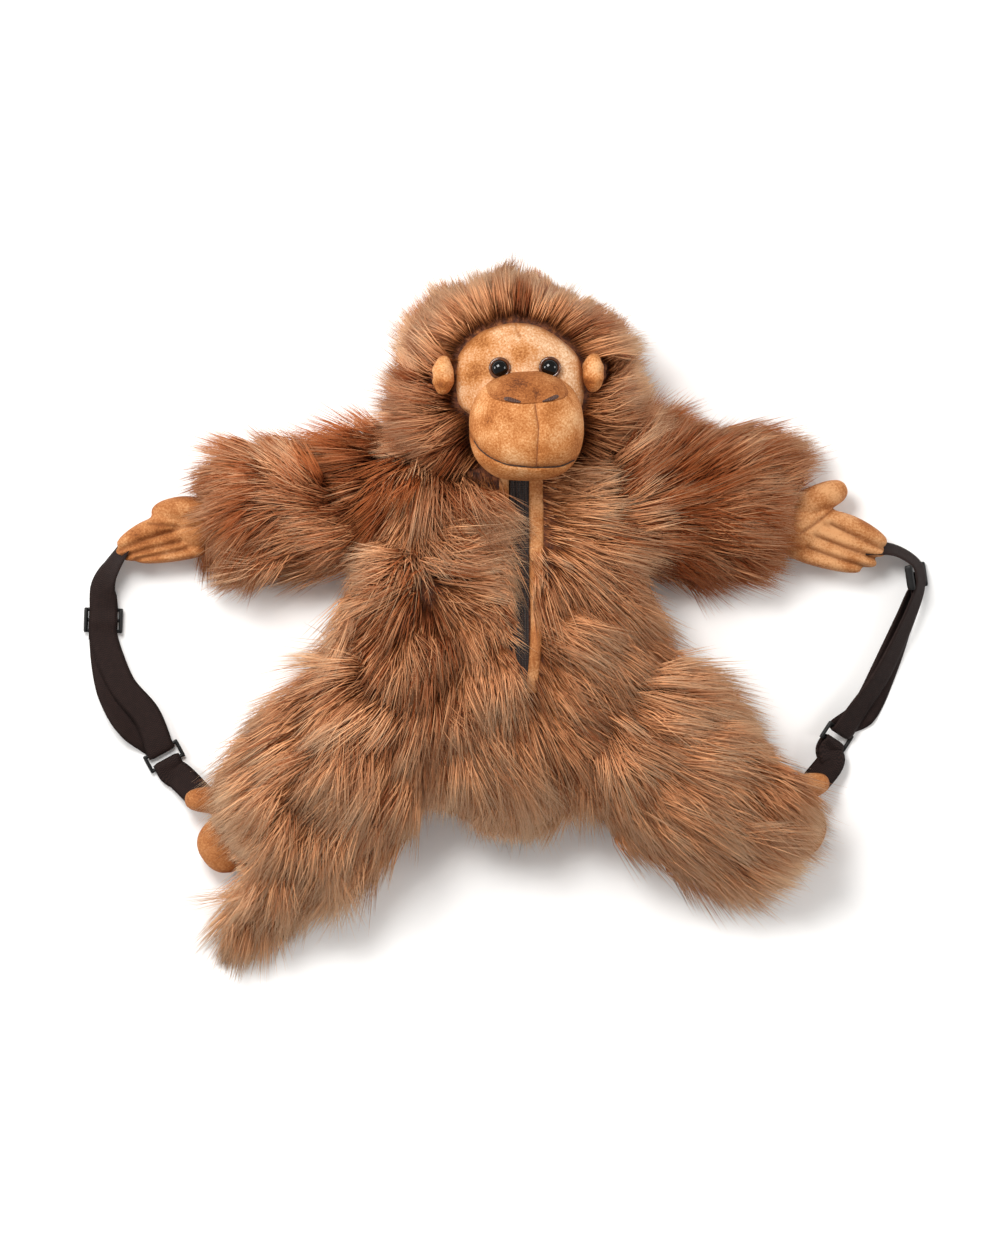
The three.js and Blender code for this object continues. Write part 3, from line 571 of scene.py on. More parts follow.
# How the fur of each body grows: number of hairs, how pale they are, their length in mm,
# how far they stand up, and the bodies that cover their roots.
FUR = {
    "torso": dict(count=30500, tone=0.68, length=50, lift=0.38,
                  hidden=("arm_left", "arm_right", "leg_left", "leg_right", "head")),
    "head": dict(count=29500, tone=0.53, length=50, lift=0.5, hidden=("torso",)),
    "arm_left": dict(count=15500, tone=0.3, length=45, lift=0.42, hidden=("torso", "head")),
    "arm_right": dict(count=15500, tone=0.27, length=45, lift=0.42, hidden=("torso", "head")),
    "leg_left": dict(count=18500, tone=0.68, length=53, lift=0.36, hidden=("torso",)),
    "leg_right": dict(count=18500, tone=0.74, length=50, lift=0.38, hidden=("torso",)),
    "tail": dict(count=6000, tone=0.74, length=38, lift=0.35, hidden=("torso",)),
}
# Which way the fur is brushed, seen from above: rows of x, y and degrees from +X.
COMB = [
    (-96, 126, 185), (-75, 98, 200), (-47, 112, -80), (-19, 98, -70), (-54, 77, 15), (-19, 77, 5),
    (-89, 35, 200), (-59, 8, -100), (-36, 40, 10), (-30, 56, 25), (-72, 62, 205), (-12, 28, -72),
    (-103, 56, 190),
    (-110, 28, 195), (-113, 14, 200), (-26, -7, -85), (-19, -42, -85), (-12, -84, -83),
    (-5, -126, -80), (16, -112, -85), (-47, -42, -95), (-54, -84, -100), (-40, -105, -112),
    (-75, -98, -100), (37, 112, 15), (70, 105, 22), (65, 70, -8), (37, 49, -45), (60, 20, -50),
    (93, 56, -18), (100, 28, -28), (100, 2, -18), (37, 0, -35), (37, -35, -45), (44, -70, -75),
    (65, -84, -60), (93, -70, -35), (37, -112, -80), (65, -105, -65), (86, -112, -60),
    (-117, 0, 178), (-145, -35, 203), (-159, -56, 210), (-173, -77, 215), (-194, -91, 205),
    (-205, -105, 195), (-110, -42, 235), (-131, -70, 230), (-145, -98, 225), (-173, -112, 214),
    (-194, -126, 202), (-89, -63, 250), (-103, -98, 248), (-124, -133, 238), (-145, -161, 250),
    (-166, -182, 258), (-145, -196, 268), (-124, -182, 265), (-110, -161, 262), (-82, -133, 262),
    (-61, -126, 275), (-180, -147, 212), (-187, -161, 232), (-201, -189, 235), (-220, -203, 200),
    (-208, -224, 235), (-173, -224, 262), (107, -14, 20), (128, -14, 15), (142, -28, 0),
    (170, -56, -25), (100, -42, -5), (135, -49, -8), (163, -63, -20), (100, -77, -30),
    (135, -84, -20), (170, -98, -25), (205, -112, -22), (100, -105, -50), (128, -126, -45),
    (156, -133, -40), (191, -140, -38), (205, -133, -30), (100, -133, -60), (128, -161, -56),
    (149, -182, -52), (184, -182, -58), (198, -161, -40), (93, 133, 60), (107, 147, 60),
    (128, 154, 55), (149, 140, 50), (170, 140, 50), (191, 133, 45), (212, 126, 40),
    (135, 112, 20), (163, 105, 8), (191, 105, 8), (121, 91, -10), (149, 84, -10), (177, 77, -12),
    (198, 70, -15), (107, 70, -45), (135, 56, -50), (163, 49, -55), (184, 49, -50),
    (-225, 133, 145), (-194, 126, 148), (-166, 133, 125), (-138, 137, 120), (-117, 140, 112),
    (-180, 105, 186), (-145, 112, 176), (-110, 105, 180), (-201, 70, 250), (-180, 56, 245),
    (-152, 70, 235), (-131, 77, 222), (-110, 84, 202), (-208, 42, 252), (-180, 38, 262),
    (-8, 108, -82), (-8, 92, -80), (-10, 60, -68), (-8, 42, -72), (-6, 10, -75), (-6, -20, -80),
    (-8, -34, -84), (32, 95, 5), (32, 75, -20), (32, 20, -50), (32, -20, -62), (12, -52, -84),
]
# Where the tips of the fur end, seen from above.
FUR_EDGE = [
    (0, 265), (17, 259), (35, 251), (50, 244), (65, 238), (80, 228), (91, 214), (97, 200),
    (101, 188), (105, 178), (107, 168), (106, 158), (113, 158), (122, 162), (135, 155), (150, 146),
    (170, 143), (190, 144), (205, 140), (215, 131), (223, 125), (214, 116), (206, 106), (201, 90),
    (199, 75), (198, 62), (194, 50), (192, 41), (180, 43), (165, 41), (157, 36), (148, 45),
    (134, 50), (118, 49), (104, 49), (102, 40), (105, 25), (104, 12), (104, 1), (112, -4),
    (126, -9), (141, -16), (154, -30), (166, -40), (173, -53), (176, -68), (183, -82), (191, -93),
    (200, -99), (214, -103), (222, -110), (221, -128), (213, -148), (206, -161), (200, -174),
    (194, -186), (188, -191), (174, -188), (159, -187), (141, -181), (129, -173), (114, -162),
    (98, -144), (89, -135), (78, -129), (61, -133), (46, -131), (34, -138), (19, -142), (5, -145),
    (-6, -144), (-16, -138), (-26, -129), (-37, -122), (-49, -118), (-57, -128), (-69, -132),
    (-81, -142), (-89, -150), (-96, -160), (-104, -168), (-110, -178), (-117, -190), (-127, -198),
    (-139, -206), (-155, -206), (-162, -216), (-164, -228), (-174, -234), (-189, -233),
    (-202, -227), (-213, -217), (-216, -204), (-210, -192), (-199, -184), (-192, -177),
    (-187, -167), (-183, -158), (-190, -148), (-198, -137), (-208, -128), (-203, -120),
    (-201, -112), (-209, -103), (-203, -98), (-192, -90), (-184, -78), (-179, -66), (-176, -49),
    (-167, -38), (-162, -25), (-154, -18), (-146, -7), (-132, 2), (-120, 6), (-114, 12),
    (-119, 21), (-115, 28), (-107, 38), (-105, 47), (-120, 53), (-131, 56), (-146, 53),
    (-156, 50), (-164, 42), (-171, 38), (-180, 41), (-190, 36), (-201, 37), (-207, 40),
    (-207, 50), (-211, 58), (-216, 67), (-218, 80), (-217, 92), (-221, 104), (-226, 113),
    (-225, 122), (-226, 128), (-221, 133), (-211, 132), (-204, 127), (-192, 127), (-186, 131),
    (-176, 135), (-166, 138), (-156, 142), (-146, 145), (-135, 144), (-122, 143), (-103, 144),
    (-98, 155), (-96, 166), (-95, 175), (-91, 184), (-87, 194), (-83, 206), (-79, 218), (-72, 232),
    (-62, 241), (-52, 247), (-39, 253), (-26, 254), (-14, 260),
]
# The same beside the zip.
ZIP_EDGE = [
    (ZIP_X - 7, 118), (ZIP_X - 7, 84), (ZIP_X - 2, 78), (ZIP_X - 2, ZIP_END_Y + 3),
    (ZIP_X + 10, ZIP_END_Y), (ZIP_X + 14, 0), (ZIP_X + 15, 118),
]
# How far the direction of a row reaches, where the zip leaves no fur, how the underside is
# thinned, and how short and thin the fur is beyond its edge.
COMB_REACH = 17
STEP_Y, BARE_LEFT_HIGH, BARE_LEFT_LOW, BARE_RIGHT = 79, 14, 7.5, 14
UNDERSIDE, UNDERSIDE_COVER = -0.45, 0.12
EDGE_PILE, EDGE_COVER = 0.14, 0.3
# Darker and lighter places in the fur, and where it is tousled: x, y, radius and amount.
# The dark spots round the shoulders, under the arms and at the hips are painted shade; the light spots are
# the fur's own paler tone.
TONES_AND_SHADE = [
    (-60, 38, 22, -0.45), (-60, -8, 22, -0.4), (-56, 114, 28, -0.4), (-34, 110, 15, -0.25),
    (108, 95, 26, -0.35), (105, 68, 16, -0.25), (152, 92, 24, -0.25), (-95, 108, 18, -0.28),
    (75, 138, 15, -0.2), (182, 136, 22, 0.4), (205, 118, 14, 0.25), (-150, 96, 20, -0.12),
    (-59, -45, 18, -0.35), (60, -80, 16, -0.15), (-225, 133, 20, 0.15), (150, 142, 24, 0.12),
    (-165, -185, 24, 0.2), (-120, 70, 20, 0.2), (-5, -100, 26, 0.12), (60, 100, 26, 0.12),
    (185, -165, 26, 0.15), (90, 0, 20, 0.1), (-205, -200, 24, -0.05),
]
TOUSLED = [(-60, 40, 30, 1.0), (-60, -8, 24, 1.2), (-60, 110, 30, 1.2), (110, 100, 26, 1.0),
           (152, 98, 34, 0.7), (-150, 96, 30, 0.4), (150, -105, 60, -0.5)]


def combing(name, points, normals):
    """The direction in which the fur of a body lies, flat on its surface."""
    table = np.array(COMB, float)
    if name == "head":
        way = points - (SKULL_X - 2, SKULL_Y - 10, 40)
        way[:, 2] = way[:, 2] * 0.25 - 6
    else:
        apart = ((points[:, None, :2] - table[None, :, :2]) ** 2).sum(axis=2)
        near = np.exp(-(apart - apart.min(axis=1, keepdims=True)) / (2 * COMB_REACH**2))
        turn = np.radians(table[:, 2])
        way = np.stack([near @ np.cos(turn), near @ np.sin(turn), np.zeros(len(points))], axis=1)
    way = unit(way)
    flat = unit(way - 0.85 * normals * np.sum(way * normals, axis=1)[:, None])
    turn = waves(points, 80, 31) * 0.3
    return flat * np.cos(turn)[:, None] + np.cross(normals, flat) * np.sin(turn)[:, None]


def within(points, outline):
    """Whether each x, y is inside an outline."""
    result = np.zeros(len(points), bool)
    for (x0, y0), (x1, y1) in zip(outline, outline[1:] + outline[:1]):
        crosses = (y0 > points[:, 1]) != (y1 > points[:, 1])
        slope = (x1 - x0) / (y1 - y0) if y1 != y0 else 0
        result ^= crosses & (points[:, 0] < x0 + (points[:, 1] - y0) * slope)
    return result


def room(points, ways, outline):
    """How far each x, y may go along its way before it meets an outline."""
    start = np.array(outline, float)
    edge = np.roll(start, -1, axis=0) - start
    ways = unit(ways[:, :2])[:, None]
    apart = start[None] - points[:, None, :2]
    turned_by = lambda p, q: p[..., 0] * q[..., 1] - p[..., 1] * q[..., 0]
    facing = turned_by(ways, edge[None])
    facing = np.where(np.abs(facing) < 1e-6, 1e-6, facing)
    far = turned_by(apart, edge[None]) / facing
    share = turned_by(apart, ways) / facing
    far[(share < 0) | (share > 1) | (far < 0)] = 1e3
    return far.min(axis=1)


# Where face and ears leave no fur, and where the middle of each ear lies.
FACE_OUTLINE = [
    (-35.2, 190), (-33.5, 199), (-20, 213.5), (-3, 220), (7, 221), (22, 218.5), (38, 209),
    (49.7, 197), (53.6, 176), (51, 160), (40, 150), (-10, 150), (-31.8, 162), (-35.2, 172),
]
FACE_HALF, EAR_BARE = (51, 45), (9.5, 12)
EARS = {"left": (-44.5, 184, 96), "right": (60, 186, 95)}


def spots(points, table):
    """The sum of soft round spots: rows of x, y, radius and amount."""
    total = np.zeros(len(points))
    for x, y, radius, amount in table:
        total += amount * np.exp(-((points[:, 0] - x) ** 2 + (points[:, 1] - y) ** 2) / radius**2)
    return total


def covered_area(mesh, cover):
    """The area of a mesh that carries fur, in square metres."""
    return sum(p.area * np.mean([cover[i] for i in p.vertices]) for p in mesh.polygons)


for seed, (name, mesh) in enumerate(bodies.items()):
    style = FUR[name]
    points, normals = points_of(mesh), normals_of(mesh)
    x, y = points[:, 0], points[:, 1]
    upward = normals[:, 2]
    cover = np.ones(len(points))
    for other in style["hidden"]:
        cover[inside(points, trees[other])] = 0
    cover[upward < UNDERSIDE] *= UNDERSIDE_COVER
    lift = np.full(len(points), style["lift"])
    pile = np.ones(len(points))
    mess = 1 + spots(points, TOUSLED)
    # Painted shade at the joints is added into the fur's tone here.
    tone = style["tone"] + spots(points, TONES_AND_SHADE)
    comb = combing(name, points, normals)
    length = style["length"]
    if name == "torso":
        left_edge = ZIP_X - np.where(y > STEP_Y, BARE_LEFT_HIGH, BARE_LEFT_LOW)
        bare = (x > left_edge) & (x < ZIP_X + BARE_RIGHT - 4 * (y < 0)) & (y > ZIP_END_Y)
        cover[bare & (upward > 0)] = 0
        near_zip = np.clip(room(points, comb, ZIP_EDGE) / (1.25 * length), EDGE_PILE, 1)
        tuft = spots(points, [(-8, 77, 9, 1.2)])
        pile = np.minimum(near_zip + tuft, 1)
        tone -= tuft * 0.25
    if name == "head":
        cover[within(points, FACE_OUTLINE) & (upward > 0)] = 0
        cover[(np.hypot(x - MUZZLE_X, y - MUZZLE_Y) < MUZZLE_BARE) & (upward > 0)] = 0
        for ear_x, ear_y, _ in EARS.values():
            apart = np.hypot((x - ear_x) / EAR_BARE[0], (y - ear_y) / EAR_BARE[1])
            cover[(apart < 1) & (upward > 0)] = 0
        reach = np.hypot((x - SKULL_X) / FACE_HALF[0], (y - SKULL_Y) / FACE_HALF[1])
        # Fur is a little paler away from the face and darker near it: painted shade where the fur meets the
        # face.
        tone += 0.05 - np.clip(1.25 - reach, 0, 0.15)
        lift = 0.45 + 0.5 * np.clip(1.4 - reach, 0, 1)
    outside = ~within(points, FUR_EDGE)
    reach = np.clip(room(points, comb, FUR_EDGE) / (1.2 * length), 0.2, 1)
    pile = np.minimum(pile, np.where(outside, EDGE_PILE, reach))
    cover[outside] *= EDGE_COVER
    paint(mesh, comb=comb, cover=cover, pile=pile, lift=lift, mess=mess, tone=tone)
    hairs = grow_fur(
        name + "_fur",
        mesh,
        Hairs=style["count"] / covered_area(mesh, cover),
        Length=style["length"] * 0.001,
        Seed=seed * 17 + 3,
    )
    for layer in COMBING:
        mesh.attributes.remove(mesh.attributes[layer])
    piece(name + "_fur", hairs, fur_mat, ())
    piece(name, mesh, backing_mat, (name,), 0.8)

# Face.
# A panel of short velour over the front of the skull, with a dart in the forehead, dents
# round the eyes and a seam that turns down into the fur. Its nap shines lighter and darker.
VELOUR, VELOUR_RELIEF = 2.5, 0.0005


def velour(name, stops):
    """Plush from a dark to a light stop. A mesh may carry painted nap sheen that lightens and darkens it, and
    painted shade along creases and rims that darkens it.
    """
    mat, net, shader = material(name, Roughness=0.75, Specular_IOR_Level=0.25)
    where = net.add("ShaderNodeTexCoord", 3)
    sheen_patches = noise(net, where, 55.0, 2.5)
    speckle = noise(net, where, 700.0, 2.0)
    fine = noise(net, where, 2200.0, 1.0)
    nap = net.add("ShaderNodeAttribute", 2, attribute_name="nap")
    seam = net.add("ShaderNodeAttribute", 2, attribute_name="seam")
    # The large noise patches and the painted nap values are painted sheen of the brushed nap, lighter and
    # darker; the speckle and fine noise are the pile's own grain.
    shade = 0.5 + (sheen_patches - 0.5) * 0.9 + (speckle - 0.5) * 0.95 + (fine - 0.5) * 0.5 + nap * 0.42
    base = ramp(net, shade, stops)
    # Painted shade in creases, grooves and rims darkens the plush towards its darkest stop.
    base = mix(net, seam * 0.75, base, colour(stops[0][1]))
    net.give(shader.inputs["Base Color"], base)
    bump(net, shader, speckle + fine * 0.6, 0.35, VELOUR_RELIEF)
    return mat


face_mat = velour("face_velour", [[0.1, "#8a4f20"], [0.36, "#b47640"], [0.6, "#c6946a"], [0.9, "#e3c3a1"]])


def to_line(points, line):
    """How far each x, y is from a line through points."""
    best = np.full(len(points), 1e9)
    flat = points[:, :2]
    for a, b in zip(np.array(line, float)[:-1], np.array(line, float)[1:]):
        t = np.clip((flat - a) @ (b - a) / np.dot(b - a, b - a), 0, 1)
        best = np.minimum(best, np.linalg.norm(flat - a - t[:, None] * (b - a), axis=1))
    return best


def crease(points, line, width):
    """From 1 on a line to 0 away from it."""
    return np.exp(-((to_line(points, line) / width) ** 2))


def pad_on(name, tree, outline, lift, deep=4.0, rings=26, around=180, round_edge=0.16):
    """A closed pad that follows the top of a body inside an outline, its rim rounded."""
    loop = np.array(outline, float)
    loop = Curve([(*p, 0) for p in (*loop, loop[0])])
    rim = loop.at(loop.share(np.linspace(0, 1, around, endpoint=False)))[:, :2]
    middle = rim.mean(axis=0)
    rows = []
    for f in np.sin(np.linspace(0, np.pi / 2, rings)):
        fall = np.clip((f - 1 + round_edge) / round_edge, 0, 1)
        top = lift * math.sqrt(max(0, 1 - fall**2)) - 0.5 * fall
        ring = middle + (rim - middle) * f
        rows.append([(x, y, height_on(tree, x, y) + top) for x, y in ring])
    for f, low in ((0.97, deep * 0.6), (0.9, deep), (0.5, deep), (0, deep)):
        ring = middle + (rim - middle) * f
        rows.append([(x, y, height_on(tree, x, y) - low) for x, y in ring])
    return closed_mesh(name, np.array(rows))


EYES = {"left": (-5.1, 189.2), "right": (29.8, 189.6)}
DART = [(6.3, 220), (6.8, 216), (9.1, 211.4)]
# Painted nap sheen on the face, lighter and darker patches: x, y, radius and amount.
FACE_SHEEN = [
    (14, 210, 12, 0.5), (40, 203, 12, 0.4), (-24, 187, 9, -0.9), (12, 201, 7, -0.6),
    (-22, 208, 9, -0.5), (46, 178, 8, 0.5), (-30, 172, 8, 0.3),
]
face_mesh = pad_on("face", trees["head"], FACE_OUTLINE, VELOUR + 0.6, 5.0, 40, 160, 0.1)
points = points_of(face_mesh)
eye_dents = spots(points, [(*EYES["left"], 11, -2.2), (*EYES["right"], 11, -2.2), (12, 203, 16, 1.6)])
dart = crease(points, DART, 0.7)
points[:, 2] += eye_dents - dart * 0.9 - crease(points, DART, 3) * 0.8
set_points(face_mesh, points)
# Painted shade darkens the face along its rim, where it meets the fur, and along the dart.
rim = crease(points, [*FACE_OUTLINE, FACE_OUTLINE[0]], 1.6)
paint(face_mesh, nap=spots(points, FACE_SHEEN), seam=np.maximum(dart, rim))
piece("face", face_mesh, face_mat, ("face",), 0.6)

# Muzzle.
# A stuffed dome of two velour halves over a lower lip, pinched in along the middle seam
# and the mouth. Dark thread shows along the mouth; the brown strip in the middle seam and the
# darkening along both creases are painted shade.
MUZZLE_WIDE, MUZZLE_TOP = 40, 142
MOUTH = [
    (-30, 150), (-23.1, 139.3), (-18.9, 133), (-11.9, 127.4), (-0.7, 122.5), (17.5, 120.4),
    (37.1, 121.1), (46.9, 125.3), (52, 130), (56, 139),
]
MIDDLE_SEAM = [(19.4, 164), (20.6, 155), (21.7, 147), (21, 133), (20.3, 120.6)]
velour_mat = velour("velour", [[0.1, "#7c4319"], [0.36, "#a5622d"], [0.6, "#be7f4a"], [0.9, "#dba877"]])
# Painted nap sheen on the muzzle: highlights at its left and right sides, darker patches within; x, y, radius
# and amount.
MUZZLE_SHEEN = [
    (-19, 158, 8, 0.7), (46, 152, 9, 0.6), (-13, 152, 6, -0.8), (28, 159, 7, -0.6),
    (5, 127, 9, 0.3), (27, 139, 5, -0.3), (40, 136, 10, 0.35), (-12, 135, 6, -0.4), (34, 115, 12, -0.3),
]
muzzle_rows = [[0, 0.92, 0.9], [0.5, 1, 0.985], [1, 0.95, 0.9]]
muzzle_mesh = closed_mesh(
    "muzzle",
    stuffed(
        [(MUZZLE_X, MUZZLE_Y, MUZZLE_TOP), (MUZZLE_X, MUZZLE_Y, SKULL_HIGH - 38)],
        shape_rows(muzzle_rows, MUZZLE_WIDE, MUZZLE_WIDE),
        up=(0, 1, 0),
        end=2.3,
        around=150,
        along=72,
        dense=1.5,
    ),
)
points = points_of(muzzle_mesh)
turn = np.arctan2(points[:, 1] - MUZZLE_Y, points[:, 0] - MUZZLE_X)
square = np.where(np.sin(turn) < 0, 2.5, 2.25)
corner = (np.abs(np.cos(turn)) ** square + np.abs(np.sin(turn)) ** square) ** (-1 / square)
points[:, :2] = (MUZZLE_X, MUZZLE_Y) + (points[:, :2] - (MUZZLE_X, MUZZLE_Y)) * corner[:, None]
points[:, 1] += np.clip(MUZZLE_Y - points[:, 1], 0, None) * 0.04
set_points(muzzle_mesh, points)
normals = normals_of(muzzle_mesh)
mouth, middle = crease(points, MOUTH, 1.1), crease(points, MIDDLE_SEAM, 0.9)
pinch = mouth * 2.0 + crease(points, MOUTH, 5) * 1.6
pinch += middle * 0.8 + crease(points, MIDDLE_SEAM, 4.5) * 1.1
points[:, 2] -= pinch
points += normals * (waves(points, 24, 5) * 0.35)[:, None]
set_points(muzzle_mesh, points)
# Painted shade darkens the velour along the mouth and middle creases.
paint(muzzle_mesh, nap=spots(points, MUZZLE_SHEEN), seam=np.clip(mouth + middle * 0.6, 0, 1))
halves = ("muzzle_left", "muzzle_right", "lower_lip")
piece("muzzle", muzzle_mesh, velour_mat, halves, 0.8)
muzzle_top = tree_of(muzzle_mesh)


def speckled(name, scale, stops, detail=2.0, **constants):
    """A material whose colour wanders between stops in fine noise. Its noise is given back too."""
    mat, net, shader = material(name, **constants)
    grain = noise(net, net.add("ShaderNodeTexCoord", 3), scale, detail)
    net.give(shader.inputs["Base Color"], ramp(net, grain, stops))
    return mat, net, shader, grain


thread_mat = speckled("thread", 900.0, [[0.3, "#1d0d07"], [0.7, "#40230f"]], Roughness=0.8)[0]


def tube(name, places, radius, sides=8):
    """A closed round thread through places in mm, pointed at its ends."""
    curve = Curve(places)
    t = curve.share(np.linspace(0, 1, max(12, int(curve.length / 0.7))))
    middle, ahead = curve.at(t), curve.ahead(t)
    across = unit(np.cross(ahead, (0, 0, 1)))
    upward = np.cross(across, ahead)
    size = radius * np.sqrt(np.clip(np.minimum(np.arange(len(t)), len(t) - 1 - np.arange(len(t))), 0, 1))
    turn = np.linspace(0, 2 * np.pi, sides, endpoint=False)[None, :, None]
    ring = across[:, None] * np.cos(turn) + upward[:, None] * np.sin(turn)
    return closed_mesh(name, middle[:, None] + ring * size[:, None, None])


def stitched(name, line, tree, radius, lift=0.0):
    """A thread laid along a line on a body."""
    curve = Curve([(x, y, 0) for x, y in line])
    route = curve.at(curve.share(np.linspace(0, 1, 60)))
    places = [(x, y, height_on(tree, x, y) + lift) for x, y, _ in route]
    return tube(name, places, radius)


piece("mouth_thread", stitched("mouth_thread", MOUTH[1:-2], muzzle_top, 0.62), thread_mat, ())
# A brown strip laid in the middle seam's groove: painted shade in the groove.
middle_groove_shade = stitched("middle_groove_shade", MIDDLE_SEAM, muzzle_top, 0.42, -0.1)
seam_mat = speckled("seam_thread", 900.0, [[0.3, "#6e3a17"], [0.7, "#9a5a2a"]], Roughness=0.8)[0]
piece("middle_groove_shade", middle_groove_shade, seam_mat, ())

# Nose.
# A browner velour patch sewn over the top of the muzzle, with two embroidered nostrils.
NOSTRILS = {
    "left": [(-3, 168.4), (0, 169.2), (6, 167.6), (10.2, 165.6), (9, 164.4), (3, 165), (-2, 166.6)],
    "right": [(23.8, 166), (29, 168.6), (35, 170.8), (36.6, 169.4), (33, 166.8), (28, 165.2), (24.6, 164.8)],
}
NOSE_OUTLINE = [
    (-15.8, 178.5), (-9.8, 183.4), (0.35, 189.7), (10.5, 192.5), (22.8, 191.5), (34.3, 184),
    (41.1, 176.7), (42.7, 171.5), (39.5, 168), (26.6, 165.2), (18.2, 164), (3.5, 164.5), (-11.5, 169),
]
nose_mat = velour("nose_velour", [[0.1, "#4e260f"], [0.36, "#854a1e"], [0.6, "#9d5f2f"], [0.9, "#bd8350"]])
nose_mesh = pad_on("nose", muzzle_top, NOSE_OUTLINE, 1.3, 3.0, 30, 130, 0.09)
points = points_of(nose_mesh)
points[:, 2] += spots(points, [(12, 178, 9, 0.9), (20, 169, 5, -0.9), (34, 178, 7, 0.5)])
set_points(nose_mesh, points)
# Painted nap sheen on the nose patch, and a painted dark smudge of shade between the nostrils.
nose_sheen = [(21.7, 171, 5, -0.4), (6, 177, 8, -0.25), (-8, 177, 6, 0.3), (30, 181, 9, 0.4)]
paint(nose_mesh, nap=spots(points, nose_sheen))
piece("nose", nose_mesh, nose_mat, ("nose",), 0.5)
nose_top = tree_of(nose_mesh)
satin_mat, net, shader = material("nostril_thread", Roughness=0.45)
# Satin stitch stripes, lighter on each thread's ridge: painted sheen over the thread's own dark brown.
fan = net.add("ShaderNodeTexWave", 0, {"Vector": net.add("ShaderNodeTexCoord", 3), "Scale": 260.0})
net.give(shader.inputs["Base Color"], ramp(net, fan, [[0, "#2b130a"], [1, "#5a3423"]]))
bump(net, shader, fan, 0.6, 0.0006)
for name, outline in NOSTRILS.items():
    crescent = pad_on("nostril_" + name, nose_top, outline, 0.9, 1.5, 10, 60, 0.5)
    piece("nostril_" + name, crescent, satin_mat, ("nostril_" + name,))

# Eyes.
# Black beads in brown plastic rims, tucked behind the top edge of the nose patch.
EYE_RADIUS, RIM_RADIUS = 5.7, 7.8
EYE_Z = {"left": 112.8, "right": 111.4}


def turned(name, profile, x, y, z, around=48):
    """A lathed mesh from rows of radius and height, whose first and last radii are 0."""
    turn = np.linspace(0, 2 * np.pi, around, endpoint=False)
    rows = [np.stack([x + r * np.cos(turn), y + r * np.sin(turn), np.full(around, z + h)], axis=1)
            for r, h in profile]
    return closed_mesh(name, np.array(rows))


black, brown = [[0.3, "#020202"], [0.8, "#050404"]], [[0.3, "#3a1d0c"], [0.8, "#6d3d1c"]]
bead_mat = speckled("black_bead", 160.0, black, Roughness=0.06, Specular_IOR_Level=0.35)[0]
rim_mat = speckled("eye_rim", 240.0, brown, Roughness=0.16, Coat_Weight=0.4)[0]
for name, (x, y) in EYES.items():
    z = EYE_Z[name]
    dome = [(EYE_RADIUS * math.cos(a), 1.4 + 3.9 * math.sin(a)) for a in np.linspace(0, np.pi / 2, 14)]
    bead = turned("eye_" + name, [(0, -6), (EYE_RADIUS, -6), *dome], x, y, z)
    piece("eye_" + name, bead, bead_mat, ("eye_" + name,))
    fat = (RIM_RADIUS - EYE_RADIUS + 0.4) / 2
    lip = [(RIM_RADIUS - fat + fat * math.cos(a), 1.0 + 1.3 * math.sin(a)) for a in np.linspace(0, np.pi, 14)]
    rim = turned("eye_rim_" + name, [(0, -7), (RIM_RADIUS, -7), *lip, (0, 0.6)], x, y, z)
    piece("eye_rim_" + name, rim, rim_mat, ("eye_rim_" + name,))

# Ears.
# Small stuffed velour ovals at both sides of the face, a little dished.
for name, (x, y, z) in EARS.items():
    rows = [[0, 7.6, 12], [1, 7.6, 12]]
    ear = closed_mesh("ear_" + name, stuffed([(x, y + 14, z), (x, y - 13.5, z + 1)], rows, end=2, around=48))
    points, normals = points_of(ear), normals_of(ear)
    points += normals * (waves(points, 9, 3) * 0.4)[:, None]
    points[:, 2] += spots(points, [(x, y, 4.5, -2.0)]) * (normals[:, 2] > 0)
    set_points(ear, points)
    # Painted shade on the lower left of each ear, painted sheen on its upper right.
    paint(ear, nap=spots(points, [(x - 3, y - 6, 4, -0.9), (x + 2, y + 4, 6, 0.6)]) + 0.15)
    piece("ear_" + name, ear, velour_mat, ("ear_" + name,), 0.7)

# Hands and feet.
# Flat stuffed velour paws: lobes for the palm, thumb and fingers, grown into one skin
# with grooves between them. Rows hold x and y of base, middle and tip, then half widths.
paw_mat = velour("paw_velour", [[0.1, "#6e3c18"], [0.36, "#96592c"], [0.6, "#ac7040"], [0.9, "#ca9464"]])
HAND_Z = 21
HANDS = {
    "left": [
        [(-197, 83), (-218, 79), (-238, 75), 14, 15, 12],
        [(-207, 92), (-228, 91), (-249, 88), 9, 9.8, 9],
        [(-222, 84), (-250, 77.5), (-273, 66), 7.4, 7.4, 6],
        [(-218, 75), (-250, 67.5), (-274, 61.5), 5.4, 5.4, 4.8],
        [(-215, 68.5), (-248, 61.5), (-269, 57.5), 4.8, 4.8, 4.4],
        [(-210, 62.5), (-236, 58.8), (-260, 56), 4.4, 4.4, 4],
    ],
    "right": [
        [(180.6, 84), (203, 79), (226, 75), 18, 19, 17],
        [(196.7, 90.5), (218, 99), (238, 107), 10, 10, 10],
        [(213, 88), (240, 80), (266, 67.5), 7.6, 7.6, 6.6],
        [(208, 78), (240, 68.5), (265, 60.5), 6.4, 6.4, 5.8],
        [(204, 69), (233, 60.5), (259, 53), 5.8, 5.8, 5.2],
        [(195, 62.7), (220, 56), (248, 49), 5.4, 5.4, 4.8],
    ],
}
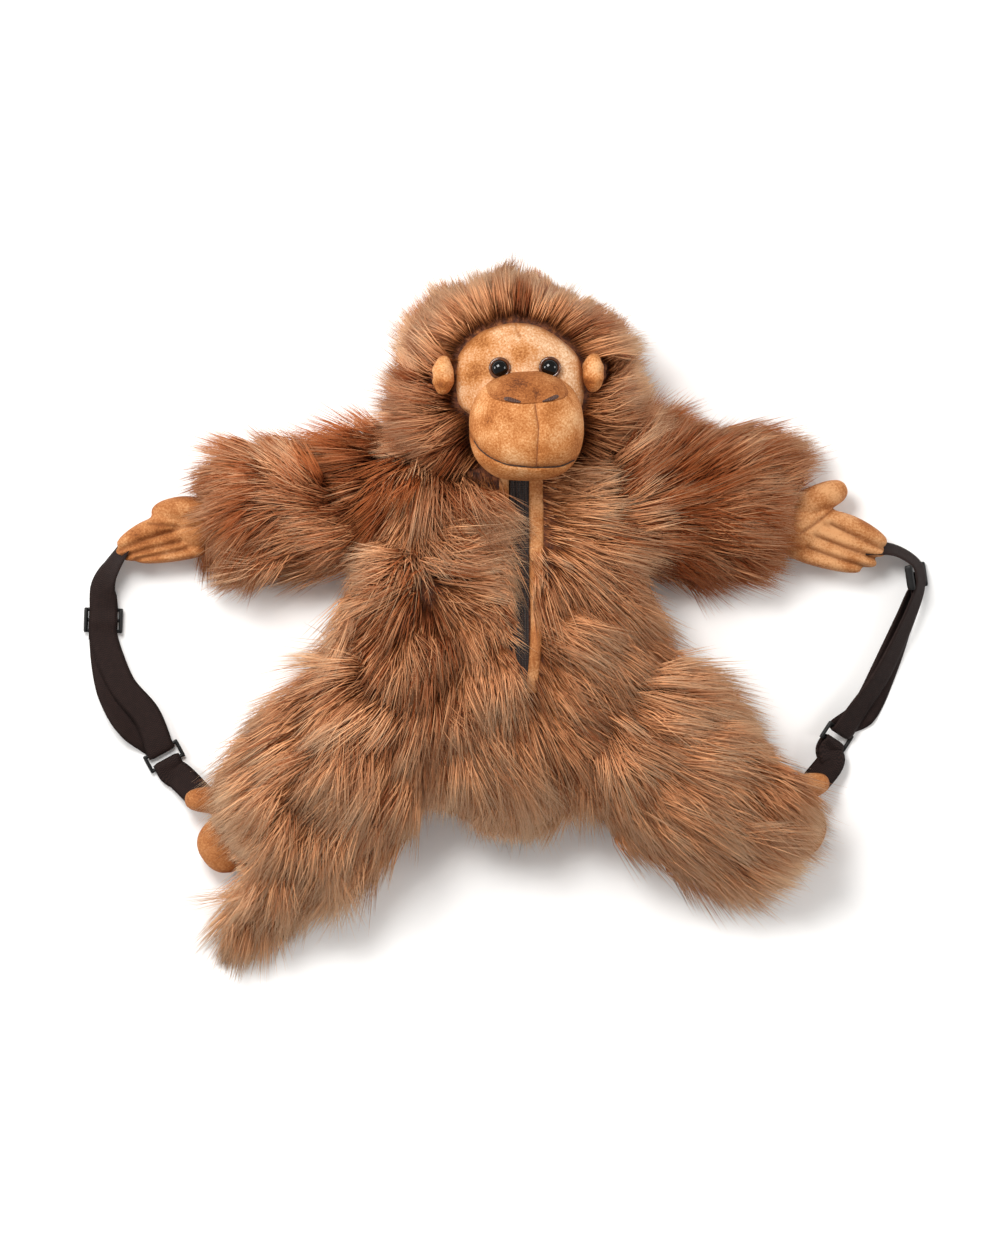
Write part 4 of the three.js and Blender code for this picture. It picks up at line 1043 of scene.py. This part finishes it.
HAND_GROOVES = {
    "left": [
        [(-251, 81.5), (-240, 80.5), (-228, 79), (-218, 80)],
        [(-272, 62.5), (-252, 70.5), (-230, 77.5)],
        [(-268, 59), (-249, 64), (-228, 69)],
        [(-260, 57), (-242, 60), (-224, 64)],
    ],
    "right": [
        [(229, 92), (222, 86.5), (214, 80), (206, 75)],
        [(264, 63), (243, 73), (227, 81)],
        [(260, 56.5), (239, 64), (216, 73)],
        [(254, 50.5), (233, 56.5), (210, 65)],
    ],
}
FOOT_Z = 19
FEET = {
    "left": [
        [(-168, -122), (-190, -138), (-213, -154), 21, 21, 21],
        [(-186, -112), (-206, -112), (-226, -112), 9, 9.4, 9],
    ],
    "right": [
        [(166, -116), (194, -128), (222, -140), 21, 21, 21],
        [(186, -108), (206, -103.5), (226, -99), 9, 9.4, 9],
    ],
}


def paw(name, lobes, z, tall, grain):
    """Lobes grown into one skin of small faces."""
    work = bmesh.new()
    for number, (base, middle, tip, *sides) in enumerate(lobes):
        path = [(*base, z), (*middle, z + 1), (*tip, z - 1)]
        high = tall if number == 0 else min(tall, 3 + sides[1] * 1.1)
        rows = [[s, side, high * k] for s, side, k in zip((0, 0.5, 1), sides, (1, 1, 0.8))]
        part = closed_mesh("lobe", stuffed(path, rows, end=2.6, around=32, along=24))
        work.from_mesh(part)
        bpy.data.meshes.remove(part)
    mesh = bpy.data.meshes.new(name)
    work.to_mesh(mesh)
    work.free()
    thing = bpy.data.objects.new(name + "_lobes", mesh)
    scene.collection.objects.link(thing)
    remesh = thing.modifiers.new("skin", "REMESH")
    remesh.mode, remesh.voxel_size, remesh.use_smooth_shade = "VOXEL", grain, True
    smooth = thing.modifiers.new("soft", "SMOOTH")
    smooth.factor, smooth.iterations = 0.5, 2
    ready = thing.evaluated_get(bpy.context.evaluated_depsgraph_get())
    made = bpy.data.meshes.new_from_object(ready)
    made.name = name
    bpy.data.objects.remove(thing)
    return made


for name in ("left", "right"):
    hand = paw("hand_" + name, HANDS[name], HAND_Z, 12, 0.0013)
    points = points_of(hand)
    dents, seam = np.zeros(len(points)), np.zeros(len(points))
    # Each groove is dented, and painted shade darkens the velour along it.
    for groove in HAND_GROOVES[name]:
        dents += crease(points, groove, 1.6) * 2.2
        seam = np.maximum(seam, crease(points, groove, 0.9))
    points[:, 2] -= dents * (points[:, 2] > HAND_Z)
    set_points(hand, points)
    # Painted nap sheen: the right hand lighter all over, both hands in soft patches.
    shine = 0.5 if name == "right" else -0.05
    paint(hand, nap=waves(points, 20, 8) * 0.4 + shine, seam=seam)
    piece("hand_" + name, hand, paw_mat, ("hand_" + name,), 0.7)
    foot = paw("foot_" + name, FEET[name], FOOT_Z, 12, 0.0022)
    piece("foot_" + name, foot, paw_mat, ("foot_" + name,), 0.7)

# Zip.
# A closed zip down the chest: dark ribbed tape with the chain along its middle, between
# two narrow velour edges sewn to the fur, and a plain slider under the chin.
ZIP_WIDE, ZIP_TOP_Y = 13.4, 128
CHAIN_HALF, CHAIN_TOP_Y = 2.4, 113
EDGE_LEFT_WIDE, EDGE_RIGHT_WIDE, EDGE_GAP = 7, 10.5, 0.3
SLIDER_Y, SLIDER_Z, SLIDER_WIDE = (114, 126), (82, 87), 8
tape_left, tape_right = ZIP_X - ZIP_WIDE / 2, ZIP_X + ZIP_WIDE / 2


def strip(name, xs, ys, top, low):
    """A closed strip that follows the torso: top gives its height at each share across."""
    rows, tree = [], trees["torso"]
    for y in ys:
        over = [(x, y, height_on(tree, x, y) + top(k / (len(xs) - 1))) for k, x in enumerate(xs)]
        under = [(x, y, height_on(tree, x, y) + low) for x in xs[::-1]]
        rows.append(over + under)
    rows = [[rows[0][0]] * len(rows[0]), *rows, [rows[-1][0]] * len(rows[0])]
    return closed_mesh(name, np.array(rows))


tape_mat, net, shader = material("zip_tape", Roughness=0.7)
where = net.add("ShaderNodeTexCoord", 3)
across = net.add("ShaderNodeSeparateXYZ", 0, {0: where})
rib = net.math("SINE", across * (2 * math.pi / 0.0021)) * 0.5 + 0.5
tooth = net.math("SINE", across.also(1) * (2 * math.pi / 0.0016)) * 0.5 + 0.5
worn = rib * 0.55 + tooth * 0.15 + noise(net, where, 500.0) * 0.4
net.give(shader.inputs["Base Color"], ramp(net, worn, [[0.2, "#0e0706"], [0.6, "#22140f"], [1, "#3c2a22"]]))
bump(net, shader, rib + tooth * 0.4, 0.8, 0.0007)
tape_xs, tape_ys = np.linspace(tape_left, tape_right, 14), np.linspace(ZIP_END_Y, ZIP_TOP_Y, 70)
tape = strip("zip_tape", tape_xs, tape_ys, lambda f: 1.5, -1)
piece("zip_tape", tape, tape_mat, ("zip_tape",))
hump = lambda f: 1.4 + 1.3 * math.sin(math.pi * f) ** 0.5
chain_xs = np.linspace(ZIP_X - CHAIN_HALF, ZIP_X + CHAIN_HALF, 12)
chain = strip("zip_chain", chain_xs, np.linspace(ZIP_END_Y + 4, CHAIN_TOP_Y, 100), hump, 0)
piece("zip_chain", chain, tape_mat, ("zip_chain",))
roll = lambda f: 0.4 + 2.6 * (1 - abs(2 * f - 1) ** 3) ** 0.5
placket_ys = np.linspace(ZIP_END_Y - 3, ZIP_TOP_Y, 90)
PLACKETS = {
    "left": (tape_left - EDGE_LEFT_WIDE, tape_left - EDGE_GAP),
    "right": (tape_right + EDGE_GAP, tape_right + EDGE_RIGHT_WIDE),
}
for name, (x0, x1) in PLACKETS.items():
    edge = strip("placket_" + name, np.linspace(x0, x1, 12), placket_ys, roll, -1)
    points = points_of(edge)
    points[:, 2] += waves(points, 14, 4) * 0.4
    if name == "right":
        narrow = 1 - 0.14 * np.clip((STEP_Y - points[:, 1]) / 60, 0, 1)
        lean = 5 * np.clip((20 - points[:, 1]) / 50, 0, 1) ** 1.5
        points[:, 0] = x1 - (x1 - points[:, 0]) * narrow - lean
        points[:, 0] += waves(points * (0, 1, 0), 60, 12) * 0.6
    else:
        points[:, 2] -= 2.2 * np.clip((STEP_Y + 5 - points[:, 1]) / 8, 0, 1)
    set_points(edge, points)
    # Painted nap sheen: the edges lighter overall, in soft patches.
    paint(edge, nap=waves(points, 26, 6) * 0.35 + 0.35)
    piece("placket_" + name, edge, paw_mat, ("placket_" + name,))

plastic = dict(Roughness=0.42, Specular_IOR_Level=0.3)
black = [[0.3, "#060606"], [0.8, "#121112"]]
plastic_mat, net, shader, scuff = speckled("black_plastic", 420.0, black, 3.0, **plastic)
bump(net, shader, scuff, 0.15, 0.0002)


def block(v, u0, u1, w0, w1, thick):
    """Rows of places of a rounded block: its middle across, its ends, bottom, top and thickness."""
    middle, high = (w0 + w1) / 2, (w1 - w0) / 2
    rows = [[0, thick / 2, high], [1, thick / 2, high]]
    return stuffed([(u0, v, middle), (u1, v, middle)], rows, end=7, around=16, along=20)


grip = block(ZIP_X, *SLIDER_Y, *SLIDER_Z, SLIDER_WIDE)[:, :, [1, 0, 2]]
piece("zip_slider", closed_mesh("zip_slider", grip), plastic_mat, ("zip_slider",))

# Straps.
# 20 mm webbing: from each hand it runs through a slider to a ring at the foot and back to
# the slider's middle bar. A short tab of the same webbing holds the ring to the foot.
WEB_THICK, WEB_WIDE = 1.6, 20
RING_BAR, RING_LONG = 1.5, 10.5
LOWER = WEB_THICK / 2
BAR_W = LOWER + WEB_THICK / 2 + RING_BAR + 0.4
UPPER = 2 * BAR_W - LOWER
BEND = BAR_W - LOWER
STRAPS = {
    "left": [
        (-262, 64, 16, 62), (-274, 50, 11, 48), (-281, 32, 2, 10), (-283, 14, 0.1, 0),
        (-282, -9, 0.1, 0), (-272.5, -32, 0.1, 0), (-255, -55, 0.1, 0), (-243, -77, 0.1, 0),
    ],
    "right": [
        (250, 60, 15, -56), (269, 58, 13, -66), (282, 47, 12, -68), (280, 26, 11, -62),
        (269.5, -3, 9, -55), (253, -30, 8, -50), (238.5, -52, 7, -44), (232, -62, 7, -42),
    ],
}
SLIDER_AT = {"left": 3 / 7, "right": 2.15 / 7}
# Height, offset and lean of the lower layer half way and near the ring, and the upper one's offset.
STRAP_PARTS = {
    "left": [(5.2, -7, -20), (6.6, -12, -36), 3],
    "right": [(1.4, 6, 30), (2.3, 9.5, 48), 0],
}
TABS = {
    "left": [(-229, -96, 1.5), (-214, -111, 8)],
    "right": [(226, -84, 7), (216, -100, 9)],
}


class Route:
    """A curve with a banked face: rows of x, y, z and bank in degrees."""

    def __init__(self, rows):
        table = np.array(rows, float)
        self.curve, self.bank = Curve(table[:, :3]), table[:, 3]

    def frame(self, t):
        """Place, and the directions ahead, across and out of the face, at t."""
        t = np.clip(np.atleast_1d(t), 0, 1)
        ahead = self.curve.ahead(t)
        flat = unit(np.cross((0, 0, 1), ahead))
        bank = np.radians(np.interp(t, np.linspace(0, 1, len(self.bank)), self.bank))[:, None]
        across = flat * np.cos(bank) + np.cross(ahead, flat) * np.sin(bank)
        return self.curve.at(t), ahead, across, np.cross(ahead, across)

    def spot(self, t, u=0.0, w=0.0, v=0.0):
        """The place at t, shifted ahead, out of the face and across."""
        at, ahead, across, face = (part[0] for part in self.frame(t))
        return at + ahead * u + face * w + across * v


def loop_rows(t, side, radius):
    """Rows of half a turn round a bar, on its side ahead or behind."""
    turn = np.radians([90, 45, 0, -45, -90])
    return [(t, side * radius * math.cos(a), BAR_W + radius * math.sin(a)) for a in turn]


def webbing(name, route, rows, steps):
    """A webbing band through rows of t, u ahead, w above, v across and lean in degrees."""
    rows = [(*row, 0, 0, 0)[:5] for row in rows]
    curve = Curve([route.spot(*row[:4]) for row in rows])
    s = curve.share(np.linspace(0, 1, steps))
    t = np.interp(s, np.linspace(0, 1, len(rows)), [row[0] for row in rows])
    lean = np.radians(np.interp(s, np.linspace(0, 1, len(rows)), [row[4] for row in rows]))[:, None]
    _, _, across, out = route.frame(t)
    across = across * np.cos(lean) + out * np.sin(lean)
    middle, ahead = curve.at(s), curve.ahead(s)
    face = unit(np.cross(ahead, across))
    flat = np.linspace(-1, 1, 8)
    section = [(WEB_WIDE / 2 * f, WEB_THICK / 2 * (1 - abs(f) ** 8) ** 0.5) for f in flat]
    section += [(a, -b) for a, b in section[-2:0:-1]]
    sides, ups = np.array(section).T
    places = middle[:, None] + across[:, None] * sides[None, :, None] + face[:, None] * ups[None, :, None]
    places = np.concatenate([places[:1].mean(axis=1, keepdims=True).repeat(len(sides), 1), places,
                             places[-1:].mean(axis=1, keepdims=True).repeat(len(sides), 1)])
    mesh = closed_mesh(name, places)
    along = np.repeat(np.linspace(0, 1, steps), len(sides)) * curve.length
    wide = np.tile(sides, steps)
    paint(mesh, along=np.r_[0, along, curve.length], across=np.r_[0, wide, 0])
    return mesh


web_mat, net, shader = material("webbing", Roughness=0.8, Specular_IOR_Level=0.2)
along = net.add("ShaderNodeAttribute", 2, attribute_name="along")
across = net.add("ShaderNodeAttribute", 2, attribute_name="across")
where = net.add("ShaderNodeTexCoord", 3)
slant = net.math("ABSOLUTE", net.math("SINE", across * (math.pi / 3.4))) * 3
rib = net.math("SINE", (along + slant * 0.25) * (2 * math.pi / 1.3)) * 0.5 + 0.5
thread_across = net.math("SINE", across * (2 * math.pi / 1.1)) * 0.5 + 0.5
selvedge = net.math("GREATER_THAN", net.math("ABSOLUTE", across), 8.9)
weave = rib * 0.5 + thread_across * 0.3 + noise(net, where, 300.0) * 0.4 + selvedge * 0.15
net.give(shader.inputs["Base Color"], ramp(net, weave, [[0.1, "#0a0504"], [0.55, "#1b0f0d"], [1, "#30201c"]]))
bump(net, shader, rib * thread_across, 0.5, 0.0004)


def strap_rows(t0, near, far, side):
    """The webbing's way: to the ring, back under itself, and round the slider's middle bar."""
    hump = UPPER + WEB_THICK
    rows = [(0, 0, UPPER), (t0 / 2, 0, UPPER), (t0, -8, UPPER), (t0, 0, hump), (t0, 8, UPPER)]
    rows += [((t0 + 1) / 2, 0, UPPER, side * 0.7), ((t0 + 3) / 4, 0, UPPER, side)]
    rows += [*loop_rows(1, 1, BEND), ((t0 + 3) / 4, 0, *far), ((t0 + 1) / 2, 0, *near), (t0, 8, LOWER)]
    rows += loop_rows(t0, -1, BEND - 0.3)[::-1]
    return rows + [(t0, 5, BAR_W - 0.1), (t0, 14, LOWER + WEB_THICK + 0.3)]


def tab(name, route):
    """The short folded tab from the ring's far bar to the foot."""
    at, ahead, _, _ = (part[0] for part in route.frame(1))
    far, bank = at + ahead * RING_LONG, route.bank[-1]
    rows = [(*(far + ahead * u), bank) for u in (-7, 0, 7)]
    rows += [(*place, bank * (1 - i) / 2) for i, place in enumerate(TABS[name])]
    stations = [(1, 0, BAR_W + 1.1), (0.75, 0, BAR_W + 1.4), (0.5, 0, BAR_W + 1.8)]
    stations += loop_rows(0.25, -1, BEND)
    stations += [(0.5, 0, BAR_W - 1.8), (0.75, 0, BAR_W - 1.4), (1, 0, BAR_W - 1.1)]
    return webbing("tab_" + name, Route(rows), stations, 110)


routes = {name: Route(rows) for name, rows in STRAPS.items()}
for name, route in routes.items():
    strap = webbing("strap_" + name, route, strap_rows(SLIDER_AT[name], *STRAP_PARTS[name]), 300)
    piece("strap_" + name, strap, web_mat, ("strap_" + name,))
    piece("tab_" + name, tab(name, route), web_mat, ("tab_" + name,))

# Sliders and rings.
# Black moulded plastic: a three-bar slider on each strap, and a rounded oblong ring between
# the strap and its tab.
SLIDER_LONG, HEEL = 15, 1.2


def in_frame(route, t, places):
    """A mesh from rows of u ahead, v across and w above the webbing's route."""
    at, ahead, across, face = (part[0] for part in route.frame(t))
    return closed_mesh("part", at + places @ np.stack([ahead, across, face]))


def bar(u, w, v0, v1, radius):
    """Rows of places of a round-ended bar across the webbing."""
    rows = [[0, radius, radius], [1, radius, radius]]
    return stuffed([(u, v0, w), (u, v1, w)], rows, end=9, around=14, along=20)


def join(name, meshes):
    """Several closed meshes in one."""
    work = bmesh.new()
    for mesh in meshes:
        work.from_mesh(mesh)
        bpy.data.meshes.remove(mesh)
    made = bpy.data.meshes.new(name)
    work.to_mesh(made)
    work.free()
    return made


for name, route in routes.items():
    t0, half, long = SLIDER_AT[name], WEB_WIDE / 2 + 0.8, SLIDER_LONG / 2
    parts = [in_frame(route, t0, bar(0, BAR_W, -half - 1, half + 1, 1.2))]
    for side in (-1, 1):
        parts.append(in_frame(route, t0, bar(side * long, BAR_W, -half - 1, half + 1, 1.3)))
        rail = block(side * (half + 1.5), -long - HEEL, long + HEEL, 1.4, UPPER + 1.4, 3)
        parts.append(in_frame(route, t0, rail))
    piece("slider_" + name, join("slider_" + name, parts), plastic_mat, ("slider_" + name,))
    half = (WEB_WIDE + 1.6) / 2 + RING_BAR
    parts = []
    for u in (0, RING_LONG):
        parts.append(in_frame(route, 1, bar(u, BAR_W, -half - 0.6, half + 0.6, RING_BAR - 0.2)))
    for side in (-1, 1):
        rail = block(side * half, -RING_BAR, RING_LONG + RING_BAR, BAR_W - 1.5, BAR_W + 1.5, 2.6)
        parts.append(in_frame(route, 1, rail))
    piece("ring_" + name, join("ring_" + name, parts), plastic_mat, ("ring_" + name,))
